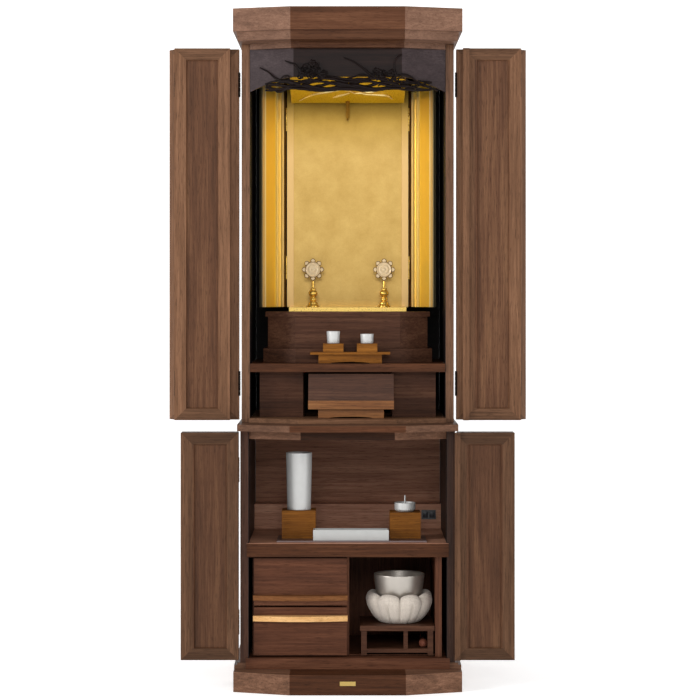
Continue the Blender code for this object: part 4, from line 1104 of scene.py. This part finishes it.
def add_butt(bm, x, y, z, height, radius):
    """Knuckles on a pin."""
    each = height / KNUCKLES
    for k in range(KNUCKLES):
        low = -height / 2 + k * each
        knuckle = [(0.0, 0.0), (radius, 0.0), (radius, each - 0.5), (0.0, each - 0.5)]
        lathe(bm, eased(knuckle, 0.4), (x, y, z + low), 20)
    pin = [(0.0, 0.0), (radius * 0.55, 0.0), (radius * 0.55, height - 1.0), (0.0, height - 1.0)]
    lathe(bm, pin, (x, y, z - height / 2 + 0.2), 12)


def make_door_hinges():
    for tier in TIERS:
        pin_x, pin_y, heights = DOOR_PINS[tier]
        fold_x, fold_y = FOLD_PINS[tier]
        for sign, label in SIDES:
            bm = bmesh.new()
            for z in heights:
                add_butt(bm, sign * pin_x, pin_y, z, HINGE_H, HINGE_R)
            name = "hinges_%s_%s" % (tier, label)
            finish_piece(name + "_case", bm, MATERIALS["bronze"])
            bm = bmesh.new()
            for z in heights:
                add_butt(bm, sign * fold_x, fold_y, z, HINGE_H, HINGE_R * 0.7)
            body = "door_%s_%s_inner" % (tier, label)
            finish_piece(name + "_fold", bm, MATERIALS["bronze"], body)


def make_wing_hinges():
    for sign, label in SIDES:
        bm = bmesh.new()
        for z in WING_HINGES:
            add_butt(bm, sign * WING_HINGE_PIN[0], WING_HINGE_PIN[1], z, WING_HINGE_H, 2.0)
            xs = sorted((sign * 126.4, sign * 131.6))
            plate(bm, xs, (61.4, 63.0), (z - WING_HINGE_H / 2, z + WING_HINGE_H / 2))
        finish_piece("wing_hinges_" + label, bm, MATERIALS["gold_trim"])


def make_hook():
    """The hook for a scroll, hung from the gold ceiling in front of the screen."""
    bm = bmesh.new()
    line = smooth_line([(0.0, y, z) for y, z in HOOK_LINE], 6)
    tube(bm, line, [HOOK_RADIUS] * len(line), 10)
    plate(bm, (-4.2, 4.2), (45.6, 47.2), (1150.0, 1187.5))
    finish_piece("scroll_hook", bm, MATERIALS["gold_dark"])


# Underside of the gold ceiling: y and z of its back edge, its slope, and the x and y of the shoots on it,
# drawn as a painted reflection of the branch
CEILING_BACK = (59.7, 1182.0)
CEILING_RISE = -37.5 / 177.4
CEILING_LINES = (
    ((-100, 40), (-84, 12), (-66, -8), (-40, -24), (-12, -38), (2, -30), (14, -12)),
    ((14, -12), (26, -16), (38, -10)),
    ((-30, 16), (-16, 2), (4, -14)),
    ((26, -28), (44, -22), (62, -30)),
    ((32, -6), (56, -4), (80, 2), (92, 26)),
)


def under_ceiling(x, y):
    """A point on the underside of the sloping gold ceiling."""
    return Vector((x, y, CEILING_BACK[1] + (y - CEILING_BACK[0]) * CEILING_RISE - 1.4))


def make_ceiling_reflection():
    """Pale gold shoots under the ceiling behind the carving: a painted reflection of the branch carving in
    the gold.
    """
    bm = bmesh.new()
    for points in CEILING_LINES:
        line = smooth_line([under_ceiling(x, y) for x, y in points], 5)
        tube(bm, line, tapering(len(line), 1.1, 2.7, 1.2), 8)
    finish_piece("ceiling_reflection", bm, MATERIALS["gold_pale"])


# Outlet: half the distance between its two faces, a face's half width, and its slots' place and half sizes
OUTLET_X = 7.2
FACE_HALF = (5.6, 6.6)
BLADE_X = 2.6
BLADE_HALF = (0.6, 3.2)


def make_outlet():
    """Two raised faces with a pair of blade slots each; the slots are near-black plates, painted shade where
    the holes are.
    """
    low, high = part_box("power_outlet")
    middle = (low[0] + high[0]) / 2 / MM
    z_mid = (low[2] + high[2]) / 2 / MM
    front = low[1] / MM + 1.0
    bm = bmesh.new()
    for sign in (-1, 1):
        x = middle + sign * OUTLET_X
        xs, zs = (x - FACE_HALF[0], x + FACE_HALF[0]), (z_mid - FACE_HALF[1], z_mid + FACE_HALF[1])
        plate(bm, xs, (front - 0.9, front + 1.6), zs, 0.8)
    finish_piece("outlet_faces", bm, MATERIALS["socket"])
    bm = bmesh.new()
    for sign in (-1, 1):
        for side in (-1, 1):
            x = middle + sign * OUTLET_X + side * BLADE_X
            xs, zs = (x - BLADE_HALF[0], x + BLADE_HALF[0]), (z_mid - BLADE_HALF[1], z_mid + BLADE_HALF[1])
            plate(bm, xs, (front - 1.0, front - 0.2), zs, 0.2)
    finish_piece("outlet_slots", bm, MATERIALS["shade_black"])


make_camera()
make_lights()
make_stage()
dress_nodes()
make_turned()
make_blossoms()
make_cushion()
make_branch()
make_door_hinges()
make_wing_hinges()
make_hook()
make_ceiling_reflection()
make_outlet()
